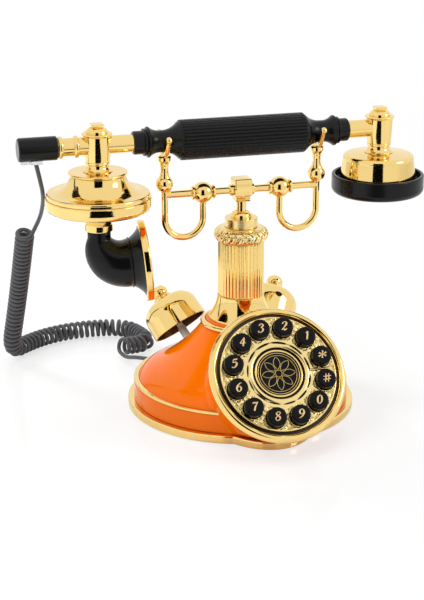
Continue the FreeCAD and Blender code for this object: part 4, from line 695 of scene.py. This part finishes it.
def squared(name, levels, body, replaced=(), centre=(0.0, 0.0)):
    """Square block: at each level (half width, height, power) a square with round corners, a superellipse
    whose corners grow sharper with its power."""
    turn = full_turn(160) + math.pi / 160
    c, s = np.cos(turn), np.sin(turn)
    half, height, power = (np.array(x)[:, None] for x in zip(*levels))
    reach = half / (np.abs(c) ** power + np.abs(s) ** power) ** (1 / power)
    grid = np.stack([centre[0] + reach * c, centre[1] + reach * s, np.repeat(height, 160, 1)], -1)
    skin = capped(grid.reshape(-1, 3), len(levels), 160, (*centre, levels[0][1]), (*centre, levels[-1][1]))
    return piece(name, *skin, gold_plate, body, replaced, "brass")


squared("cradle_block_square", [(4.5, 139.0, 22), (4.8, 139.05, 22), (4.8, 142.3, 22), (4.85, 142.4, 22),
                                (5.05, 142.4, 22), (5.1, 142.42, 22), (5.7, 143.05, 22), (5.75, 143.15, 22),
                                (5.75, 153.05, 22), (5.7, 153.15, 22), (5.1, 153.75, 22), (5.0, 153.8, 22)],
        "cradle", ("cradle_block",))

along_x = standing((0, 0, 146.0), (1, 0, 0), (0, 1, 0))
half_bar = [(2.3, 5.75), (3.7, 5.75), (3.7, 7.95), (2.3, 8.6), (2.3, 18.25), (4.4, 18.25), (4.4, 19.65),
            (3.02, 19.65), ((6.85, 25.8), (3.02, 31.95)), (4.4, 31.95), (4.4, 33.35), (2.3, 33.35),
            (2.3, 51.0)]
other_half = [(2.3, -33.35), (4.4, -33.35), (4.4, -31.95), (3.02, -31.95), ((6.85, -25.8), (3.02, -19.65)),
              (4.4, -19.65), (4.4, -18.25), (2.3, -18.25), (2.3, -8.6), (3.7, -7.95), (3.7, -5.75),
              (2.3, -5.75)]
bar_line = lathe_line((0.0, -51.0), (2.3, -51.0), *other_half, *half_bar, (0.0, 51.0), soft=0.25)
gold("cradle_bar_turning", bar_line, along_x, "cradle", "cradle_bar", around=96)


def ringed(centres, ways, radii, around, first=(0, 1, 0)):
    """Round skin along a path: at each point of the path a ring, centre plus radius times (u cos a + v sin
    a), where u and v are square to the path's direction there and u starts near first."""
    ways = unit(ways)
    u = unit(np.array(first, float) - ways * (ways @ np.array(first, float))[:, None])
    v = np.cross(ways, u)
    turn = full_turn(around)[None, :, None]
    radii = np.broadcast_to(np.asarray(radii, float), len(centres))[:, None, None]
    return (centres[:, None] + radii * (np.cos(turn) * u[:, None] + np.sin(turn) * v[:, None])).reshape(-1, 3)


def bent_rod(name, path, radius, body, replaced, first):
    """Rod along a path in a plane, closed at both ends by a point on the path."""
    ways = np.gradient(path, axis=0)
    grid = ringed(path, ways, radius, 32, first)
    return piece(name, *capped(grid, len(path), 32, path[0], path[-1]), gold_plate, body, replaced, "brass")


hook_place, fork_place, hook_bend, handset_height, fork_top = 25.8, 51.0, 12.6, 181.0, 184.0
hook_turn = np.linspace(math.pi, 2 * math.pi, 49)
hook_bow = np.stack([38.4 + hook_bend * np.cos(hook_turn), 0 * hook_turn,
                     129.9 + hook_bend * np.sin(hook_turn)], 1)
down = np.stack([np.full(8, hook_place), np.zeros(8), np.linspace(141.0, 130.5, 8)], 1)
up = np.stack([np.full(8, fork_place), np.zeros(8), np.linspace(130.5, 150.0, 8)], 1)
hook_path = np.vstack([down, hook_bow, up])
cup_line = lathe_line((0.0, 147.7), ((5.6, 153.3), (4.0, 157.2)), (3.7, 157.2), ((2.55, 161.7), (2.8, 165.2)),
                      ((3.2, 167.2), (4.3, 168.6)), (4.3, 170.8), (3.5, 171.6), (0.0, 171.6), soft=0.25)
fork_reach, wrap = 9.4, math.radians(60)
bow = np.linspace(-wrap, wrap, 33)
fork_bow = np.stack([np.full(33, fork_place), fork_reach * np.sin(bow),
                     handset_height - fork_reach * np.cos(bow)], 1)
prong = (fork_top - fork_bow[-1, 2]) / math.sin(wrap)
tip_y = fork_bow[-1, 1] + prong * math.cos(wrap)
run = np.linspace(0, 1, 9)[:-1, None]
front_tip, back_tip = (np.array([fork_place, y, fork_top]) for y in (-tip_y, tip_y))
fork_path = np.vstack([front_tip + run * (fork_bow[0] - front_tip), fork_bow,
                       back_tip + run[::-1] * (fork_bow[-1] - back_tip)])
ball_line = bowed((0.0, -2.1), (2.1, 0.0), (0.0, 2.1), 17)
for side, name in ((1, "right"), (-1, "left")):
    flip = np.array([side, 1, 1])
    bent_rod("hook_rod_" + name, hook_path * flip, 2.17, "cradle", ("hook_" + name,), (0, 1, 0))
    gold("hook_cup_" + name, cup_line, standing((fork_place * side, 0, 0)), "cradle", around=80)
    bent_rod("fork_" + name, fork_path * flip, 1.6, "cradle", ("cradle_forks",), (1, 0, 0))
    for end, tip in (("front", front_tip), ("back", back_tip)):
        gold("fork_tip_" + name + "_" + end, ball_line, standing(tip * flip), "cradle", around=40)


# Grip: a black moulding ribbed along its length, with a turned waist, bead and ferrule at each end.  The ribs
# are arcs between narrow flutes, and the gold tubes are pressed into its ends.
black_moulding = finish_of("black_moulding", (0.004, 0.004, 0.0045), 0.22, 0.06, 420.0, 0.05, gloss=0.22)
hub_place = 94.0
grip_place = standing((0, 0, handset_height), (1, 0, 0), (0, 1, 0))
ribs, rib_depth, rib_share, grip_size, grip_core = 36, 0.65, 0.5, 12.8, 8.0
turn = full_turn(ribs * 12)
in_flute = np.clip(np.abs((turn * ribs / (2 * math.pi) + 0.5) % 1.0 - 0.5) * 2 / rib_share, 0, 1)
rib_radius = grip_size - rib_depth * (1 - in_flute ** 2)
stations = np.array([-41.0, -40.9, -40.5, -39.5, -20.0, 0.0, 20.0, 39.5, 40.5, 40.9, 41.0])
trim = np.array([-0.55, -0.2, -0.03, 0.0, 0.0, 0.0, 0.0, 0.0, -0.03, -0.2, -0.55])
body_rows = np.minimum(rib_radius[None, :] + trim[:, None], grip_size)
body_rows = np.vstack([np.full(len(turn), grip_core), body_rows, np.full(len(turn), grip_core)])
stations = np.r_[-41.0, stations, 41.0]
middle, along = grip_place
piece("grip_body", middle + about_z(body_rows, stations[:, None], turn) @ along,
      skin_faces(len(body_rows), len(turn), True), black_moulding, "handset", ("grip",), "black_plastic")
end_line = lathe_line((0.0, 38.0), (12.1, 38.0), (12.15, 41.0), (11.6, 42.2), ((8.2, 46.8), (7.0, 53.0)),
                      ((7.7, 58.1), (9.75, 61.3)), (9.75, 62.2), (8.25, 63.0), (8.65, 63.4), (8.65, 64.7),
                      (7.4, 65.2), (7.4, 70.7), (6.6, 71.5), (5.6, 71.5), (5.6, 66.0), (0.0, 66.0), soft=0.3)
for side, name in ((1, "right"), (-1, "left")):
    turned("grip_end_" + name, end_line, standing((0, 0, handset_height), (side, 0, 0), (0, 1, 0)),
           black_moulding, "handset", slot="black_plastic", around=112)


# Arms: gold-plated tubes from the grip to the two hubs, and a ringed tube on the cord's side that ends in a
# black cap.  Hubs are turned, with a domed finial and a small flared square nut on top.
tube_line = lathe_line((4.4, 65.0), (5.6, 65.0), (5.6, 88.4), (4.4, 88.4), soft=0.1, closed=True)
ringed_line = lathe_line((4.4, -119.3), (5.6, -119.3), (5.6, -118.8), (6.4, -118.8),
                         ((7.0, -117.5), (6.4, -116.2)), (5.6, -116.2), (5.6, -108.9), (6.4, -108.9),
                         ((7.0, -107.6), (6.4, -106.3)), (5.6, -106.3), (5.6, -99.5), (4.4, -99.5), soft=0.25,
                         closed=True)
hub_line = lathe_line((0.0, 164.6), (9.4, 164.6), (9.4, 165.2), ((7.3, 167.2), (7.0, 169.2)), (7.8, 169.6),
                      (7.9, 170.6), (7.6, 171.0), (7.8, 171.3), ((8.3, 180.0), (8.55, 187.1)), (9.2, 187.5),
                      (9.75, 188.2), (9.3, 188.9), (0.0, 188.6), soft=0.3)
finial_line = lathe_line((0.0, 188.4), (6.9, 188.4), (6.9, 189.6), ((6.1, 191.2), (4.4, 192.2)), (0.0, 192.2),
                         soft=0.4)
for side, name in ((1, "right"), (-1, "left")):
    gold("arm_tube_" + name, tube_line, standing((0, 0, handset_height), (side, 0, 0), (0, 1, 0)), "handset",
         "arm_tubes", around=96)
    spot = standing((hub_place * side, 0, 0))
    gold("hub_" + name, hub_line, spot, "handset", "arm_hubs", around=128)
    gold("finial_" + name, finial_line, spot, "handset", "hub_finials", around=96)
    squared("finial_nut_" + name, [(3.3, 191.9, 14), (3.4, 191.9, 14), (3.7, 193.0, 14), (3.95, 194.2, 16),
                                   (4.05, 194.5, 16), (3.85, 194.6, 16)], "handset",
            centre=(hub_place * side, 0.0))
gold("arm_tube_ringed", ringed_line, grip_place, "handset", around=96)
cap_line = lathe_line((0.0, -144.0), (6.0, -144.0), ((7.05, -143.55), (7.5, -142.5)), (7.5, -120.1),
                      (6.7, -119.3), (0.0, -119.3), soft=0.5)
turned("cord_cap_moulding", cap_line, grip_place, black_moulding, "handset", ("cord_cap",), "black_plastic")


# Mouthpiece: a gold trumpet-shaped housing in two spun pieces, a black moulded horn on a gold collar below it
# and a gold ring rolled over the horn's mouth.
mouth = standing((-hub_place, 0, 0))
upper_line = lathe_line((0.0, 164.6), (17.8, 164.6), ((18.7, 163.7), (17.8, 162.8)), (17.5, 162.4),
                        ((21.1, 155.2), (30.6, 151.2)), (31.8, 151.2), ((32.6, 150.4), (32.6, 149.8)),
                        (32.6, 148.2), (30.0, 148.2), (30.0, 149.2), (0.0, 149.2), soft=0.35)
lower_line = lathe_line((0.0, 148.2), (33.1, 148.2), (33.6, 147.7), (33.6, 143.8),
                        ((32.7, 141.1), (30.2, 139.6)), ((16.8, 135.6), (9.3, 131.4)), (8.9, 130.6),
                        (8.9, 126.4), (5.8, 126.4), (5.8, 136.0), (0.0, 136.0), soft=0.5)
gold("mouth_upper", upper_line, mouth, "handset", "mic_upper", around=200)
gold("mouth_lower", lower_line, mouth, "handset", "mic_lower", around=200)

# Horn: rings along a quarter bend that widen with 1 - (1 - t) squared and bulge outwards half way by a sine,
# a small step ring, and a flared cone.
swivel = math.radians(-8.0)
horn_turn, bend_radius, bend_height = math.radians(95.5), 17.2, 121.3
t = np.linspace(0, 1, 33)
angle = horn_turn * t
bend = np.stack([bend_radius * (1 - np.cos(angle)), 0 * t, bend_height - bend_radius * np.sin(angle)], 1)
bend_way = np.stack([np.sin(angle), 0 * t, -np.cos(angle)], 1)
bulge = 0.4 * np.sin(math.pi * t)
bend = bend - bulge[:, None] * np.stack([np.cos(angle), 0 * t, np.sin(angle)], 1)
bend_size = 7.4 + 8.0 * (1 - (1 - t) ** 2) + bulge
throat = np.array([[0, 0, 126.4], [0, 0, 124.0]])
cone_line = np.vstack([[[0.1, 15.5], [0.25, 15.95], [0.6, 16.25], [1.0, 16.2], [1.3, 15.8], [1.5, 15.6]],
                       bowed((1.5, 15.7), (4.7, 18.0), (8.4, 22.4), 16)[1:]])
end, end_way = bend[-1], bend_way[-1]
cone = end + cone_line[:, :1] * end_way
inside_line = bowed((8.4, 20.8), (4.7, 16.4), (0.6, 13.95), 14)
inside = end + inside_line[:, :1] * end_way
centres = np.vstack([throat, bend, cone, inside, bend[::-1][1:], throat[::-1]])
rings = np.r_[7.4, 7.4, bend_size, cone_line[:, 1], inside_line[:, 1], bend_size[::-1][1:] - 1.6, 5.8, 5.8]
down_way = np.array([[0, 0, -1.0]] * 2)
horn_ways = np.vstack([down_way, bend_way, np.repeat(end_way[None], len(cone) + len(inside), 0),
                       bend_way[::-1][1:], down_way])
skin = ringed(centres, horn_ways, rings, 112)
c, s = math.cos(swivel), math.sin(swivel)
to_mouth = np.array([[c, s, 0], [-s, c, 0], [0, 0, 1]])
piece("horn_moulding", skin @ to_mouth + [-hub_place, 0, 0], skin_faces(len(centres), 112, True),
      black_moulding, "handset", ("horn",), "black_plastic")
rim_line = lathe_line((22.45, 7.8), (25.5, 7.8), (26.1, 8.4), (26.1, 11.2), ((25.6, 12.2), (24.5, 12.4)),
                      (21.4, 10.8), (20.8, 8.4), (22.45, 8.4), soft=0.3, closed=True)
rim_place = standing(end @ to_mouth + [-hub_place, 0, 0], end_way @ to_mouth, (0, 1, 0))
gold("horn_mouth_ring", rim_line, rim_place, "handset", "horn_rim", around=160)


# Earpiece: a gold dome under the other hub, closed by a black moulded cap with a raised lip and sound holes.
ear = standing((hub_place, 0, 0))
dome_line = lathe_line((3.0, 164.6), (10.4, 164.6), (21.0, 163.5), ((22.5, 162.7), (23.2, 160.6)),
                       (24.7, 149.6), (24.7, 145.6), (23.1, 145.6), (23.1, 149.6), (21.3, 160.2),
                       (3.0, 162.4), soft=0.8, closed=True)
gold("ear_dome_spinning", dome_line, ear, "handset", "ear_dome", around=200)
ear_line = lathe_line((0.0, 140.4), ((12.75, 139.56), (25.5, 137.4)), ((29.4, 139.0), (30.3, 142.4)),
                      (30.3, 149.4), ((30.0, 150.1), (29.3, 150.4)), (28.1, 150.2), (27.7, 145.6),
                      (22.5, 145.6), (22.5, 143.6), (0.0, 143.6), soft=0.35)
turned("ear_cap_moulding", ear_line, ear, black_moulding, "handset", ("ear_cap",), "black_plastic",
       around=200)
# Sound holes are not cut: each is a thin dark disc on the cap's face, painted shade where the hole would be.
hole_line = lathe_line((0.0, -0.1), (1.1, -0.1), (1.1, 0.1), (0.0, 0.1), soft=0.05)
for k in range(7):
    x, y = (0.0, 0.0) if k == 6 else (7 * math.cos(k * math.pi / 3), 7 * math.sin(k * math.pi / 3))
    turned("ear_hole_shade_%d" % k, hole_line, standing((hub_place + x, y, 140.35 if k == 6 else 140.1)),
           groove_black, "handset", slot="black_plastic", around=24)


# Cord: a dark grey PVC cord 2.8 mm thick, curly between two straight leads, with a clear modular plug at each
# end.  It leaves the cap under the handset, hangs behind the mouthpiece, lies in a loop on the table and goes
# back into the base.  Its route has the part's route points, some moved by up to 10 mm to lie as it does in
# the photo.
def route_points(name, points, steps):
    """Points along a smooth route: a NURBS spline of order 3 that starts and ends on its points."""
    line = bpy.data.curves.new(name, "CURVE")
    line.dimensions = "3D"
    line.resolution_u = steps
    spline = line.splines.new("NURBS")
    spline.points.add(len(points) - 1)
    spline.points.foreach_set("co", np.column_stack([np.array(points) * 0.001, np.ones(len(points))]).ravel())
    spline.order_u = 3
    spline.use_endpoint_u = True
    carrier = bpy.data.objects.new(name, line)
    mesh = bpy.data.meshes.new_from_object(carrier)
    out = np.empty(len(mesh.vertices) * 3)
    mesh.vertices.foreach_get("co", out)
    bpy.data.objects.remove(carrier)
    bpy.data.meshes.remove(mesh)
    return out.reshape(-1, 3) * 1000.0


def even(points, count):
    """The same line at equal steps of its length."""
    s = np.r_[0, np.cumsum(np.linalg.norm(np.diff(points, axis=0), axis=1))]
    return np.stack([np.interp(np.linspace(0, s[-1], count), s, points[:, k]) for k in range(3)], 1), s[-1]


def carried(ways):
    """Two directions square to each step of a path.  The first is that of the step before less its part along
    the path, at length 1; the second is square to both."""
    sides, side = np.empty_like(ways), np.array([1.0, 0.0, 0.0])
    for i, way in enumerate(ways):
        side = side - way * (side @ way)
        side /= np.linalg.norm(side)
        sides[i] = side
    return sides, np.cross(ways, sides)


cord_radius, coil_radius, coil_turns, coil_pitch, coil_steps = 1.4, 5.1, 63.36, 3.9, 2400
coil_route = [(-132.4, 52.0, 114.5), (-132.2, 78.0, 78.0), (-133.4, 98.0, 44.0), (-136.0, 117.0, 7.2),
              (-118.0, 135.0, 6.9), (-98.0, 146.5, 6.9), (-72.0, 151.5, 6.9), (-45.0, 147.0, 6.9),
              (-37.0, 125.0, 6.9), (-37.0, 105.0, 7.2), (-59.0, 99.0, 9.8)]
axis_line, axis_length = even(route_points("coil_route", coil_route, 200), coil_steps + 1)
tangent = unit(np.gradient(axis_line, axis=0))
here = np.linspace(0, axis_length, coil_steps + 1)
bend = np.linalg.norm(np.gradient(tangent, here, axis=0), axis=1)
reach = int(4.5 / (axis_length / coil_steps))
tightest = np.max(np.lib.stride_tricks.sliding_window_view(np.pad(bend, reach, "edge"), 2 * reach + 1), 1)
# Helix: its pitch opens where the route bends, in the middle of the table and at both ends; the turn is the
# sum of length over pitch, scaled to the cord's number of turns.
pitch = coil_pitch + 0.4 * np.exp(-((here / axis_length - 0.62) / 0.1) ** 2)
pitch = np.maximum(pitch, 3.4 / (1 - coil_radius * tightest))
pitch = pitch + 3 * np.exp(-(here / 5) ** 2) + 1.5 * np.exp(-((axis_length - here) / 4) ** 2)
turned_by = np.r_[0, np.cumsum(1 / pitch[:-1])]
turned_by *= 2 * math.pi * coil_turns / turned_by[-1]
normal, across = carried(tangent)
curls = axis_line + coil_radius * (np.cos(turned_by)[:, None] * normal + np.sin(turned_by)[:, None] * across)
top_lead = [(-132.6, 0.0, 171.15), (-130.0, 3.5, 161.0), (-126.0, 15.0, 147.0), (-124.4, 32.0, 133.0),
            (-124.4, 45.0, 123.0)]
low_lead = [(-57.0, 90.0, 4.2), (-53.0, 76.5, 9.0), (-43.84, 62.67, 11.05)]
cord_points = np.vstack([top_lead, curls[2:10:6], curls[10:-9:2], curls[-8::6], low_lead])
cord_line, cord_length = even(route_points("cord_route", cord_points, 6), 4800)
frame_side, frame_up = carried(unit(np.gradient(cord_line, axis=0)))
cord_sides = 14
turn = full_turn(cord_sides)[None, :, None]
spokes = np.cos(turn) * frame_side[:, None] + np.sin(turn) * frame_up[:, None]
tube = cord_line[:, None] + cord_radius * spokes
cord_grey = finish_of("cord_grey", (0.060, 0.060, 0.067), 0.31, 0.06, 700.0, 0.05)
tube, faces = capped(tube.reshape(-1, 3), len(cord_line), cord_sides, cord_line[0], cord_line[-1])
cord = piece("curly_cord", tube, faces, cord_grey, None, ("cord_lead_top", "cord_coil", "cord_lead_base"),
             "cord")
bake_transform(cord)
clear_plastic = finish_of("clear_plastic", (0.90, 0.92, 0.93), 0.12, 0.04, 300.0, 0.02)
plastic_tree = clear_plastic.node_tree
feed(plastic_tree, plastic_tree.nodes["Principled BSDF"], {"Transmission Weight": 0.8, "IOR": 1.49})


# Inside and below: parts that the shell hides or that face the table, as the solids give them, and the two
# plugs.
rubber = finish_of("rubber", (0.030, 0.030, 0.031), 0.62, 0.08, 600.0, 0.12)
board_green = finish_of("board_green", (0.035, 0.16, 0.06), 0.36, 0.06, 300.0, 0.06)
can_metal = finish_of("can_metal", (0.60, 0.60, 0.59), 0.30, 0.06, 500.0, 0.05, metal=1.0)
for finish, names in ((rubber, ("foot_ring", "key_mat")), (board_green, ("main_board", "key_board")),
                      (bright_steel, ("base_screws", "ballast_plate", "plunger_spring")),
                      (can_metal, ("mic_capsule", "receiver")),
                      (clear_plastic, ("cord_plug", "cord_base_plug")),
                      (black_moulding, ("bottom_cover", "hook_switch", "ringer", "modular_jacks"))):
    for name in names:
        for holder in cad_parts[name].material_slots:
            holder.material = finish
